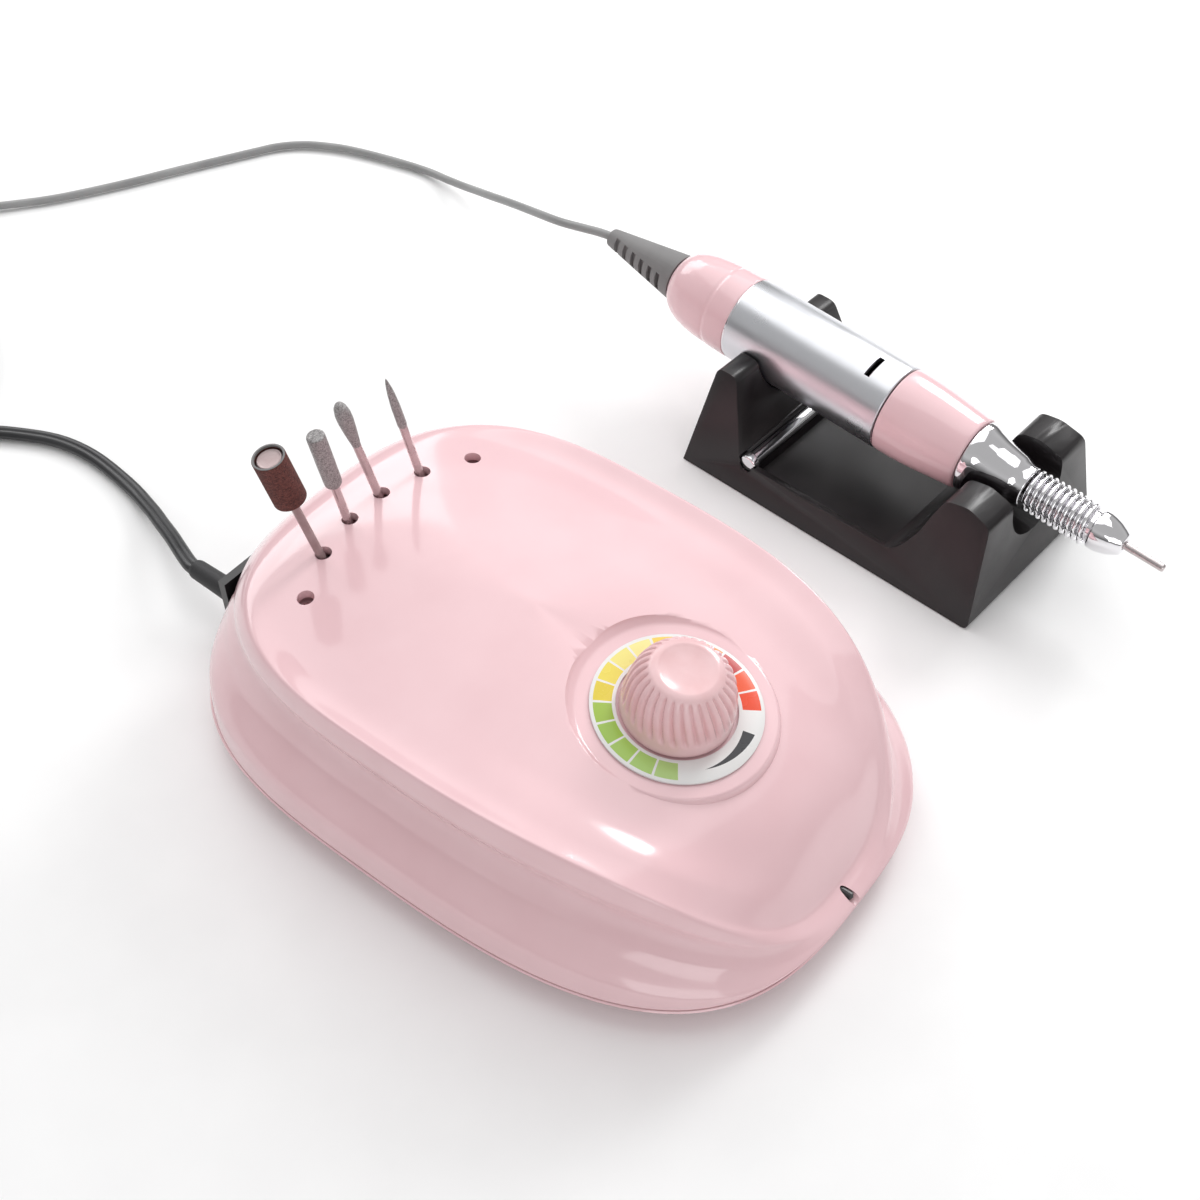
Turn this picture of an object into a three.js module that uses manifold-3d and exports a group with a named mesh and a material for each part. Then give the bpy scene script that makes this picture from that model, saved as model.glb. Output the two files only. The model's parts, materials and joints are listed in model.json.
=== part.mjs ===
// Electric nail drill: control unit with bit rack and speed dial, handpiece, cradle and cords.
// Millimetres, +Z up, the front of the unit faces -Y. The model is drawn round the foot point of
// the speed dial. At the end the whole group is moved, so that the origin is the bottom centre of
// the box round everything but the two cords.
import * as THREE from 'three';
import { mergeVertices } from 'three/addons/utils/BufferGeometryUtils.js';
import Module from 'manifold-3d';

const wasm = await Module();
wasm.setup();

// ---- Driving dimensions -------------------------------------------------------------------

const GAP = 0.3;                 // air between fixed pieces that meet
const CLEAR = 0.35;              // air round a piece that turns or slides

// Case of the control unit
const CASE_HALF_WIDTH = 67.5;
const CASE_REAR = 133;           // how far the case reaches behind the dial's foot point
const CASE_FRONT = 56;           // how far it reaches in front of it
const CASE_MIDDLE = 50;          // the widest place, behind the dial's foot point
const CASE_TOP = 51;
const PARTING_Z = 9;             // height of the joint between tray and cover
const COVER_WALL = 2.5;
const TRAY_WALL = 2.5;
const TRAY_FLOOR = 2.5;
const CASE_SIDES = 64;

// Feet, posts and screws
const FOOT_HEIGHT = 2;
const FOOT_RADIUS = 6;
const FOOT_SPOTS = [[-42, -14], [42, -14], [-42, 104], [42, 104]];
const POST_RADIUS = 4.5;
const POST_SPOTS = [[-47, 10], [47, 10], [-47, 84], [47, 84]];
const SCREW_RADIUS = 1.3;
const SCREW_HEAD_RADIUS = 2.9;
const SCREW_HEAD = 1.8;
const SCREW_LENGTH = 14;

// Indicator lamp in the front of the parting line
const LAMP_RADIUS = 1.1;
const LAMP_LENGTH = 5;

// Dial
const DIAL_Z = 43;               // height of the boss's face at its centre
const DIAL_TILT = 8;             // degrees, leaning to the front
const BOSS_RADIUS = 25.5;
const BOSS_DEPTH = 6;
const LABEL_OUTER = 21.8;
const LABEL_INNER = 15.3;
const LABEL_THICKNESS = 0.6;
const KNOB_RADIUS = 14.5;
const KNOB_HEIGHT = 17.5;
const KNOB_TOP_RADIUS = 7.6;
const KNOB_FLUTES = 30;
const FLUTE_RADIUS = 0.8;
const FLUTE_SLANT = 14;          // degrees
const BUSHING_RADIUS = 4.6;
const SHAFT_RADIUS = 3;
const POT_RADIUS = 8.5;
const POT_DEPTH = 9;
const NUT_RADIUS = 7.2;
const NUT_HEIGHT = 2.2;

// Bit rack: three holes on either side of the middle, on an arc
const RACK_ARC = 59.8;
const RACK_ARC_Y = 43.9;
const HOLE_ANGLES = [5.9, 18.8, 33.1];
const HOLE_RADIUS = 2.3;
const HOLE_TOP = 48.6;           // height of the cover at the holes
const RACK_TOP = 43.4;
const RACK_HEIGHT = 5;
const RACK_WIDTH = 9;
const RACK_END_ANGLE = 38;
const POCKET_DEPTH = 2.8;
const RACK_LEG_RADIUS = 3;
const RACK_LEG_ANGLE = 26;

// Bits: each leans away by its own reach, which is its shank's offset from the hole's centre
const SHANK_RADIUS = 1.175;
const LEAN_HEADING = 154;        // degrees from +X
const DRUM_RADIUS = 3.5;
const BAND_RADIUS = 4.4;
const BAND_LENGTH = 16;

// Rear panel and what it carries
const PANEL_HALF = 34;
const PANEL_TOP = 31.6;
const PANEL_Y = 126.2;
const PANEL_THICKNESS = 2.5;
const FLANGE = 1.4;
const SWITCH_X = { direction: 0, power: 14 };
const SWITCH_HALF = [5.4, 7.6];
const SWITCH_DEPTH = 8;
const ROCKER_SIZE = [8, 5, 12];
const ROCKER_TILT = 9;           // degrees either side of level
const ROCKER_SINK = 2;           // the rocker's pivot lies this far behind the frame's face
const FUSE_X = -13;
const FUSE_RADIUS = 5;
const FUSE_BORE = 3.5;
const SOCKET_X = 28;
const SOCKET_RADIUS = 4.6;
const SOCKET_BORE = 3.5;
const ROUND_FLANGE = 6;

// Cradle, in its own frame: X across it, -Y forward, origin at the middle of its foot
const CRADLE_PLACE = [138.9, 20.4, 0];
const CRADLE_YAW = -4.1;         // degrees
const CRADLE_LENGTH = 107;
const CRADLE_WIDTH = 66;
const CRADLE_HEIGHT = 35.5;
const CRADLE_LEAN = 8.6;         // how far each side leans in at the top
const CRADLE_LOW = 10;           // height of the low side walls
const CRADLE_SIDE = 4.5;         // foot width of a low side wall
const CRADLE_FLOOR = 4;
const REAR_BLOCK = { top: [5, 12], foot: 20 };
const FRONT_BLOCK = { foot: 75, top: [88, 95, 103] };
const SADDLE_AIR = 0.6;          // air between the handpiece and its rear saddle
const FRONT_SADDLE_RADIUS = 12.9;
const BAR_RADIUS = 2;
const BAR_COLLAR_RADIUS = 3;
const BAR_HALF = 30;
const BAR_PLACE = 22.5;
const BAR_Z = 9.6;

// Handpiece: lengths along its axis, from the rear edge of the rear cap
const HAND_PLACE = [0, 83.5, 36];
const HAND_TILT = 2.9;           // degrees, nose down
const BODY_RADIUS = 13.5;
const BODY_WALL = 1.75;
const CAP_LENGTH = 27;
const CAP_REAR_RADIUS = 8;
const SLEEVE_LENGTH = 57;
const COLLAR_LENGTH = 27;
const COLLAR_FRONT_RADIUS = 11.3;
const COLLAR_BORE = 9.5;
const CONE_LENGTH = 19;
const CONE_FRONT_RADIUS = 6.4;
const CONE_BORE = 4.2;
const SPRING_LENGTH = 21.5;
const SPRING_RADIUS = 5.95;      // to the middle of its wire
const SPRING_WIRE = 0.55;
const SPRING_TURNS = 10;
const NOSE_LENGTH = 9.5;
const NOSE_RADIUS = 6;
const NOSE_FRONT_RADIUS = 3;
const RELIEF_LENGTH = 30;
const NECK_RADIUS = 3.5;
const SPINDLE_RADIUS = 2.4;
const CHUCK_BORE = 1.5;
const PIN_LENGTH = 33;
const PIN_REACH = 12.5;          // the test pin stands this far out of the nose

// Cords
const MAINS_DIAMETER = 4.8;
const MAINS_X = -24.5;
const MAINS_Z = 12.8;
const MAINS_RELIEF_LENGTH = 24;
const LEAD_DIAMETER = 2.8;
const COIL_FOOT = 1.6;           // leaves room for the tie's strap under a coil
const TIE_STRAP = 1;
const MAINS_COIL = { centre: [-20.4, 310], inner: 21.5, outer: 34.5, top: 11.4 };
const LEAD_COIL = { centre: [29, 354.5], inner: 8, outer: 21.5, top: 7.5 };

const PLUG = {
  width: 22, length: 26, low: 0.2, high: 16, neck: 4, neckLength: 8, pinGap: 6.35, pinLength: 17,
};
const CONNECTOR = { neck: 2.2, neckLength: 12, radius: 4.6, length: 18, plugRadius: 3, plugLength: 12 };

// Where the mains cord runs, from the end of its relief to the coil.
const MAINS_ROUTE = [
  [-24.5, 153.6, 12.7], [-23.4, 157.5, 12.1], [-20.8, 164, 10.8], [-17.8, 171.3, 9.1], [-15.1, 178.6, 7.3],
  [-12.6, 185.1, 5.7], [-10.5, 191.6, 4.4], [-8.8, 197.2, 3.5], [-7.6, 202.6, 2.9], [-6.4, 211, 2.6],
  [-5.7, 219.5, 2.6], [-5.9, 227, 2.6], [-7.1, 234.4, 2.6], [-9.2, 240.8, 2.6], [-12.4, 247.4, 2.6],
  [-16.5, 254.2, 2.6], [-21.4, 260.5, 2.6], [-26.4, 266.8, 2.6], [-31, 272.5, 2.6], [-33.4, 275.5, 2.6],
];

// Where the handpiece's cord runs, from the tip of its relief to its coil.
const LEAD_ROUTE = [
  [147, 134.2, 37.5], [146.4, 138.6, 37.5], [145.5, 144, 37.1], [145.8, 154.2, 34.9], [150, 167.9, 30],
  [156.5, 184, 23], [163.2, 200, 15.5], [167.3, 210.4, 10.9], [171, 221.2, 6.6], [173.8, 231.4, 3.4],
  [174.9, 243.7, 1.7], [172.1, 259, 1.7], [167.6, 275.5, 1.7], [163, 285.9, 1.7], [158.3, 293, 1.7],
  [151.9, 299, 1.7], [144.4, 303.3, 1.7], [134.1, 308.9, 1.7], [118.7, 317.1, 1.7],
  [98.3, 327.6, 1.7], [79.2, 338.9, 1.7], [67, 348, 1.7], [57.6, 355.8, 1.7], [50.9, 361.9, 1.7],
];

// ---- Materials ----------------------------------------------------------------------------

function paint(color, roughness, metalness = 0) {
  return new THREE.MeshStandardMaterial({ color, roughness, metalness });
}

const PINK = () => paint(0xefcfd2, 0.2);
const BLACK = () => paint(0x1d1b1d, 0.45);
const GREY = () => paint(0x6c6d70, 0.6);
const LEAD_GREY = () => paint(0x9a9a9c, 0.6);
const STEEL = () => paint(0xb9aeae, 0.3, 1);
const CHROME = () => paint(0xdedfe2, 0.08, 1);
const SATIN = () => paint(0xc3c6cc, 0.35, 1);
const GRIT = () => paint(0x5e2a27, 0.9);
const DIAMOND = () => paint(0x8d8a8c, 0.7, 0.6);
const RUBBER = () => paint(0x26262a, 0.85);
const LABEL = () => paint(0xf4f4f2, 0.4);
const BOARD = () => paint(0x1f5b3a, 0.5);
const COPPER = () => paint(0xb56a3c, 0.35, 1);
const IRON = () => paint(0x55565a, 0.5, 1);

// ---- Solids -------------------------------------------------------------------------------

// A closed geometry as a solid, with its faces turned outwards.
function solid(geometry) {
  const bare = geometry.clone();
  bare.deleteAttribute('normal');
  bare.deleteAttribute('uv');
  const merged = mergeVertices(bare, 1e-4);
  const corners = merged.attributes.position;
  const [a, b, c] = [new THREE.Vector3(), new THREE.Vector3(), new THREE.Vector3()];
  const triangles = [];
  let volume = 0;
  for (let i = 0; i < merged.index.count; i += 3) {
    const [p, q, r] = [0, 1, 2].map((k) => merged.index.getX(i + k));
    if (p !== q && q !== r && r !== p) {
      triangles.push([p, q, r]);
      a.fromBufferAttribute(corners, p);
      b.fromBufferAttribute(corners, q);
      c.fromBufferAttribute(corners, r);
      volume += a.dot(b.cross(c));
    }
  }
  const outward = volume < 0 ? triangles.map(([p, q, r]) => [p, r, q]) : triangles;
  return new wasm.Manifold(new wasm.Mesh({
    numProp: 3,
    vertProperties: new Float32Array(corners.array),
    triVerts: new Uint32Array(outward.flat()),
  }));
}

function cut(body, ...tools) {
  return tools.reduce((left, tool) => left.subtract(tool), body);
}

function join(...bodies) {
  return bodies.reduce((sum, body) => sum.add(body));
}

function add(group, name, body, material, [x, y, z] = [0, 0, 0]) {
  const { vertProperties, triVerts } = body.getMesh();
  const geometry = new THREE.BufferGeometry();
  geometry.setAttribute('position', new THREE.BufferAttribute(vertProperties, 3));
  geometry.setIndex(new THREE.BufferAttribute(triVerts, 1));
  geometry.computeVertexNormals();
  const mesh = new THREE.Mesh(geometry, material);
  mesh.name = name;
  mesh.position.set(x, y, z);
  group.add(mesh);
  return mesh;
}

// A turned solid about Z. The profile's points are [radius, height]; it starts and ends on the axis.
function turned(profile, sides = 32) {
  const points = profile.map(([radius, height]) => new THREE.Vector2(radius, height));
  return solid(new THREE.LatheGeometry(points, sides).rotateX(Math.PI / 2));
}

// The same with a hole along the axis: the profile closes on itself.
function turnedRing(profile, sides = 32) {
  return turned([...profile, profile[0]], sides);
}

function disc(radius, low, high, sides = 32) {
  return turned([[0, low], [radius, low], [radius, high], [0, high]], sides);
}

function pipe(outer, inner, low, high, sides = 32) {
  return turnedRing([[inner, low], [outer, low], [outer, high], [inner, high]], sides);
}

// A box from its lowest corner to its highest corner.
function block([x0, y0, z0], [x1, y1, z1]) {
  const box = new THREE.BoxGeometry(x1 - x0, y1 - y0, z1 - z0);
  return solid(box.translate((x0 + x1) / 2, (y0 + y1) / 2, (z0 + z1) / 2));
}

// Turns a solid made along +Z so that it points to the rear.
function facingRear(body) {
  return body.rotate([-90, 0, 0]);
}

// An outline pushed up along Z from one height to another.
function prism(points, low, high) {
  const shape = new THREE.Shape(points.map(([x, y]) => new THREE.Vector2(x, y)));
  const plate = new THREE.ExtrudeGeometry(shape, { depth: high - low, bevelEnabled: false });
  return solid(plate.translate(0, 0, low));
}

// A round bar that follows a curve.
function bar(curve, radius, steps, sides) {
  const corners = Array.from({ length: sides }, (_, i) => {
    const angle = (2 * Math.PI * i) / sides;
    return new THREE.Vector2(radius * Math.cos(angle), radius * Math.sin(angle));
  });
  const options = { steps, extrudePath: curve, bevelEnabled: false };
  return solid(new THREE.ExtrudeGeometry(new THREE.Shape(corners), options));
}

// A closed body through rings of points. A fan closes the first ring and the last.
function loft(rings) {
  const count = rings[0].length;
  const last = (rings.length - 1) * count;
  const centre = (ring) => ring.reduce((sum, p) => sum.add(p), new THREE.Vector3()).divideScalar(count);
  const points = [...rings.flat(), centre(rings[0]), centre(rings[rings.length - 1])];
  const [foot, crown] = [last + count, last + count + 1];
  const index = [];
  for (let i = 0; i < count; i += 1) {
    const next = (i + 1) % count;
    index.push(foot, next, i, crown, last + i, last + next);
    for (let low = 0; low < last; low += count) {
      index.push(low + i, low + next, low + next + count);
      index.push(low + i, low + next + count, low + i + count);
    }
  }
  const geometry = new THREE.BufferGeometry().setFromPoints(points);
  geometry.setIndex(index);
  return solid(geometry);
}

// ---- Control unit: cover and tray ---------------------------------------------------------

// Levels of the cover from the parting line up. "in" is how far a level lies inside the widest
// outline at the side, the rear and the front. Each outline is a superellipse with one power for
// its rear half and one for its front half. Heights are at the rear, the side and the front, and
// "late" says how far round the side the height stays up before it falls to the front.
const LEVELS = [
  { in: [0, 0, 0], middle: 0, powers: [3, 3], z: [9, 9, 9], late: 2 },
  { in: [1, 0, -0.5], middle: 0, powers: [3, 3], z: [16, 16, 9.7], late: 3.4 },
  { in: [9, 2, 0], middle: 0, powers: [2.9, 2.8], z: [28, 25, 10.3], late: 4.2 },
  { in: [12, 4.5, 1], middle: 0, powers: [2.8, 2.7], z: [35, 32, 10.9], late: 4.8 },
  { in: [9.5, 9, 2.5], middle: 2, powers: [2.8, 2.7], z: [41, 40, 11.5], late: 5.2 },
  { in: [11, 14, 5], middle: 4, powers: [2.7, 2.7], z: [46, 46.5, 12.3], late: 5.2 },
  { in: [17, 20, 9], middle: 4, powers: [2.6, 2.5], z: [48.3, 45.3, 20], late: 5 },
  { in: [27.5, 29, 20], middle: 4, powers: [2.4, 2.2], z: [49.4, 46.5, 33], late: 2.5 },
  { in: [47.5, 49, 44], middle: -5, powers: [2.1, 2], z: [50.4, 48.8, 40.5], late: 2 },
  { in: [66, 82, 100], middle: -5, powers: [2, 2], z: [CASE_TOP, CASE_TOP, CASE_TOP], late: 2 },
];

// The ring of one level, moved inwards by an inset and up by a rise.
function outline(level, inset = 0, rise = 0) {
  const middle = CASE_MIDDLE + level.middle;
  const half = CASE_HALF_WIDTH - level.in[0] - inset;
  const ends = [CASE_REAR - level.in[1] - inset - middle, middle + CASE_FRONT - level.in[2] - inset];
  return Array.from({ length: CASE_SIDES }, (_, i) => {
    const angle = (2 * Math.PI * i) / CASE_SIDES;
    const [c, s] = [Math.cos(angle), Math.sin(angle)];
    const side = s > 0 ? 0 : 1;
    const power = level.powers[side];
    const reach = (Math.abs(c) ** power + Math.abs(s) ** power) ** (-1 / power);
    const share = Math.abs(s * reach) ** (side === 0 ? 2 : level.late);
    const height = level.z[1] + (level.z[side * 2] - level.z[1]) * share;
    return new THREE.Vector3(half * c * reach, middle + ends[side] * s * reach, height + rise);
  });
}

// The cover's outer body, or the space inside it when a wall is given.
function coverBody(wall = 0) {
  return loft(LEVELS.map((level) => {
    const inset = Math.min(wall, CASE_HALF_WIDTH - level.in[0] - 1);
    return outline(level, inset, -wall);
  }));
}

function atSpots(spots, body) {
  return spots.map(([x, y]) => body.translate([x, y, 0]));
}

const HOLE_SPOTS = [-1, 1].flatMap((side) => HOLE_ANGLES.map((degrees) => {
  const angle = THREE.MathUtils.degToRad(degrees);
  return [side * RACK_ARC * Math.sin(angle), RACK_ARC_Y + RACK_ARC * Math.cos(angle)];
}));

function inDial(body) {
  return body.rotate([DIAL_TILT, 0, 0]).translate([0, 0, DIAL_Z]);
}

const PANEL_LOW = PARTING_Z;
const PANEL_FACE = PANEL_Y + PANEL_THICKNESS;
const PANEL_MID = (PANEL_LOW + PANEL_TOP) / 2;
const LAMP_Z = PARTING_Z + LAMP_RADIUS + CLEAR + GAP;

function topCover() {
  const outer = coverBody();
  const boss = inDial(turned([
    [0, -BOSS_DEPTH], [BOSS_RADIUS + 1.5, -BOSS_DEPTH], [BOSS_RADIUS + 0.6, -1], [BOSS_RADIUS, 0], [0, 0],
  ], 60));
  const posts = atSpots(POST_SPOTS, disc(POST_RADIUS, PARTING_Z, CASE_TOP, 16));
  const shell = join(cut(outer, coverBody(COVER_WALL)), boss, ...posts.map((post) => post.intersect(outer)));
  const rearOpening = block(
    [-PANEL_HALF - GAP, PANEL_Y - 16, 0],
    [PANEL_HALF + GAP, CASE_REAR + 5, PANEL_TOP + GAP],
  );
  const lampHole = facingRear(disc(LAMP_RADIUS + CLEAR, 0, 12, 12)).translate([0, -CASE_FRONT - 2, LAMP_Z]);
  return cut(
    shell,
    inDial(disc(BOSS_RADIUS, 0, 12, 60)),
    inDial(disc(BUSHING_RADIUS + CLEAR, -BOSS_DEPTH - 2, 2, 24)),
    rearOpening,
    lampHole,
    ...atSpots(HOLE_SPOTS, disc(HOLE_RADIUS, RACK_TOP, CASE_TOP + 5, 16)),
    ...atSpots(POST_SPOTS, disc(SCREW_RADIUS + CLEAR, 0, FOOT_HEIGHT + SCREW_LENGTH + 1.5, 12)),
  );
}

// The tray: its rim follows the cover's foot, a little inside it.
function trayRings(inset, levels) {
  return levels.map(([extra, height]) => outline(LEVELS[0], inset + extra, height - PARTING_Z));
}

const TRAY_RIM = PARTING_Z - GAP;
const TRAY_INSIDE = FOOT_HEIGHT + TRAY_FLOOR;

function baseTray() {
  const outer = loft(trayRings(0.4, [[6, FOOT_HEIGHT], [1.4, FOOT_HEIGHT + 3], [0, TRAY_RIM]]));
  const room = loft(trayRings(0.4 + TRAY_WALL, [
    [6, TRAY_INSIDE], [1.4, TRAY_INSIDE + 1.5], [0, TRAY_RIM + 1],
  ]));
  return cut(
    join(cut(outer, room), ...atSpots(POST_SPOTS, disc(POST_RADIUS, FOOT_HEIGHT, TRAY_RIM, 16))),
    ...atSpots(POST_SPOTS, disc(SCREW_RADIUS + CLEAR, 0, PARTING_Z, 12)),
    ...atSpots(POST_SPOTS, disc(SCREW_HEAD_RADIUS + GAP, 0, FOOT_HEIGHT + SCREW_HEAD + GAP, 16)),
  );
}

function caseScrew() {
  const head = FOOT_HEIGHT + SCREW_HEAD;
  return turned([
    [0, FOOT_HEIGHT + 0.3], [SCREW_HEAD_RADIUS, FOOT_HEIGHT + 0.3], [SCREW_HEAD_RADIUS, head],
    [SCREW_RADIUS, head], [SCREW_RADIUS, head + SCREW_LENGTH - 2.5], [0, head + SCREW_LENGTH - 1.5],
  ], 12);
}

function rubberFoot() {
  return turned([
    [0, 0], [FOOT_RADIUS - 0.5, 0], [FOOT_RADIUS, 0.5], [FOOT_RADIUS, FOOT_HEIGHT - GAP],
    [0, FOOT_HEIGHT - GAP],
  ], 20);
}

function addCase(unit) {
  add(unit, 'top_cover', topCover(), PINK());
  add(unit, 'base_tray', baseTray(), PINK());
  POST_SPOTS.forEach(([x, y], i) => add(unit, `case_screw_${i + 1}`, caseScrew(), STEEL(), [x, y, 0]));
  FOOT_SPOTS.forEach(([x, y], i) => add(unit, `rubber_foot_${i + 1}`, rubberFoot(), RUBBER(), [x, y, 0]));
  const lamp = facingRear(turned([
    [0, 0], [LAMP_RADIUS, 0.6], [LAMP_RADIUS, LAMP_LENGTH], [0, LAMP_LENGTH],
  ], 12));
  add(unit, 'indicator_lamp', lamp, BLACK(), [0, 0.8 - CASE_FRONT, LAMP_Z]);
}

// ---- Control unit: dial -------------------------------------------------------------------

const KNOB_FOOT = 0.5;
const BORE_TOP = KNOB_HEIGHT - 4;
const BUSHING_TOP = NUT_HEIGHT + 1;

function speedKnob() {
  const shoulder = KNOB_HEIGHT - 3.2;
  const bore = SHAFT_RADIUS + CLEAR;
  const body = turned([
    [0, BORE_TOP], [bore, BORE_TOP], [bore, BUSHING_TOP + 2], [NUT_RADIUS + 2, BUSHING_TOP + 2],
    [NUT_RADIUS + 3, KNOB_FOOT], [KNOB_RADIUS - 0.4, KNOB_FOOT], [KNOB_RADIUS, KNOB_FOOT + 0.4],
    [KNOB_RADIUS - 0.3, KNOB_FOOT + 2], [KNOB_RADIUS - 1, KNOB_FOOT + 6], [KNOB_RADIUS - 2.2, shoulder - 3],
    [KNOB_RADIUS - 3.4, shoulder - 0.6], [KNOB_RADIUS - 5.2, KNOB_HEIGHT - 1],
    [KNOB_TOP_RADIUS, KNOB_HEIGHT], [KNOB_TOP_RADIUS - 1.2, KNOB_HEIGHT - 0.3], [0, KNOB_HEIGHT - 0.9],
  ], 60);
  const taper = THREE.MathUtils.radToDeg(Math.atan2(2.6, shoulder - 4));
  const flute = disc(FLUTE_RADIUS, 0, shoulder - 3, 6)
    .rotate([FLUTE_SLANT, 0, 0])
    .rotate([0, -taper, 0])
    .translate([KNOB_RADIUS + 0.2, 0, KNOB_FOOT + 2.6]);
  const flutes = Array.from({ length: KNOB_FLUTES }, (_, i) => flute.rotate([0, 0, (360 * i) / KNOB_FLUTES]));
  return cut(body, ...flutes);
}

function addDial(unit) {
  const dial = new THREE.Group();
  dial.position.z = DIAL_Z;
  dial.rotation.x = THREE.MathUtils.degToRad(DIAL_TILT);
  unit.add(dial);
  const under = -BOSS_DEPTH - GAP;
  const shaftFoot = under - POT_DEPTH + 2;
  const can = turned([
    [0, under - POT_DEPTH], [POT_RADIUS, under - POT_DEPTH], [POT_RADIUS, under], [BUSHING_RADIUS, under],
    [BUSHING_RADIUS, BUSHING_TOP], [SHAFT_RADIUS + CLEAR, BUSHING_TOP], [SHAFT_RADIUS + CLEAR, shaftFoot],
    [0, shaftFoot],
  ], 24);
  add(dial, 'label_ring', pipe(LABEL_OUTER, LABEL_INNER, GAP, GAP + LABEL_THICKNESS, 60), LABEL());
  add(dial, 'potentiometer', can, SATIN());
  const nut = cut(disc(NUT_RADIUS, GAP, NUT_HEIGHT, 6), disc(BUSHING_RADIUS + GAP, 0, NUT_HEIGHT + 1, 24));
  add(dial, 'potentiometer_nut', nut, STEEL());
  add(dial, 'potentiometer_shaft', disc(SHAFT_RADIUS, shaftFoot + GAP, BORE_TOP - GAP, 20), STEEL());
  add(dial, 'speed_knob', speedKnob(), PINK());
}

// ---- Control unit: what is inside ---------------------------------------------------------

const CORE = { place: [-22, 58, 0], half: [21, 8], height: 34, leg: 7, window: 7, yoke: 7 };
const BOARD_PLACE = { low: [4, 32], high: [44, 78], z: 12, thickness: 1.6, stand: 3 };

function transformerCore() {
  const { half, height, leg, window, yoke } = CORE;
  const top = TRAY_INSIDE + GAP + height;
  const base = TRAY_INSIDE + GAP;
  const windows = [-1, 1].map((side) => block(
    [Math.min(side * leg, side * (leg + window)), -half[1] - 1, base + yoke],
    [Math.max(side * leg, side * (leg + window)), half[1] + 1, top - yoke],
  ));
  return cut(block([-half[0], -half[1], base], [half[0], half[1], top]), ...windows);
}

function transformerWinding() {
  const { half, height, leg, window, yoke } = CORE;
  const low = TRAY_INSIDE + GAP + yoke + GAP;
  const high = TRAY_INSIDE + GAP + height - yoke - GAP;
  const reach = leg + window - GAP;
  return cut(
    block([-reach, -half[1] - 6, low], [reach, half[1] + 6, high]),
    block([-leg - GAP, -half[1] - GAP, low - 1], [leg + GAP, half[1] + GAP, high + 1]),
  );
}

// The board, its capacitor, its relay and the four stand-offs under it are soldered together.
function circuitBoard() {
  const { low, high, z, thickness, stand } = BOARD_PLACE;
  const corners = [[low[0], low[1]], [high[0], low[1]], [low[0], high[1]], [high[0], high[1]]];
  const inward = ([x, y]) => [x + (x === low[0] ? 5 : -5), y + (y === low[1] ? 5 : -5)];
  return join(
    block([...low, z], [...high, z + thickness]),
    disc(7, z, z + 20, 20).translate([14, 68, 0]),
    block([26, 58, z], [40, 70, z + 13]),
    ...atSpots(corners.map(inward), disc(stand, TRAY_INSIDE + GAP, z + 0.5, 12)),
  );
}

function heatSink() {
  const [width, depth, height, fins] = [28, 11, 18, 5];
  const pitch = (width - 2) / (fins - 1);
  const blades = Array.from({ length: fins }, (_, i) => (
    block([i * pitch, 0, 0], [i * pitch + 2, depth, height])
  ));
  return join(block([0, 0, 0], [width, 2, height]), ...blades);
}

function bitRack() {
  const steps = 14;
  const edge = (radius) => Array.from({ length: steps + 1 }, (_, i) => {
    const angle = THREE.MathUtils.degToRad(RACK_END_ANGLE * ((2 * i) / steps - 1));
    return [radius * Math.sin(angle), RACK_ARC_Y + radius * Math.cos(angle)];
  });
  const outlinePoints = [...edge(RACK_ARC + RACK_WIDTH / 2), ...edge(RACK_ARC - RACK_WIDTH / 2).reverse()];
  const legAngle = THREE.MathUtils.degToRad(RACK_LEG_ANGLE);
  const legs = [-1, 1].map((side) => disc(RACK_LEG_RADIUS, TRAY_INSIDE + GAP, RACK_TOP - 1, 12).translate([
    side * RACK_ARC * Math.sin(legAngle), RACK_ARC_Y + RACK_ARC * Math.cos(legAngle), 0,
  ]));
  return cut(
    join(prism(outlinePoints, RACK_TOP - RACK_HEIGHT, RACK_TOP), ...legs),
    ...atSpots(HOLE_SPOTS, disc(HOLE_RADIUS, RACK_TOP - POCKET_DEPTH, RACK_TOP + 1, 16)),
  );
}

function addInside(unit) {
  add(unit, 'transformer_core', transformerCore(), IRON(), CORE.place);
  add(unit, 'transformer_winding', transformerWinding(), COPPER(), CORE.place);
  add(unit, 'circuit_board', circuitBoard(), BOARD());
  const { low, z, thickness } = BOARD_PLACE;
  add(unit, 'heat_sink', heatSink(), SATIN(), [low[0] + 8, low[1] + 10, z + thickness + GAP]);
  add(unit, 'bit_rack', bitRack(), PINK());
}

// ---- Control unit: rear panel -------------------------------------------------------------

const RELIEF_FLANGE = MAINS_Z - PARTING_Z;

function rearPanel() {
  const round = (x, z, radius) => facingRear(disc(radius + GAP, 0, 10, 20)).translate([x, PANEL_Y - 2, z]);
  const switchHoles = Object.values(SWITCH_X).map((x) => block(
    [x - SWITCH_HALF[0] - GAP, PANEL_Y - 1, PANEL_MID - SWITCH_HALF[1] - GAP],
    [x + SWITCH_HALF[0] + GAP, PANEL_FACE + 1, PANEL_MID + SWITCH_HALF[1] + GAP],
  ));
  return cut(
    block([-PANEL_HALF, PANEL_Y, PANEL_LOW], [PANEL_HALF, PANEL_FACE, PANEL_TOP]),
    ...switchHoles,
    round(FUSE_X, PANEL_MID, FUSE_RADIUS),
    round(SOCKET_X, PANEL_MID, SOCKET_RADIUS),
    round(MAINS_X, MAINS_Z, RELIEF_FLANGE - 1),
  );
}

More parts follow.
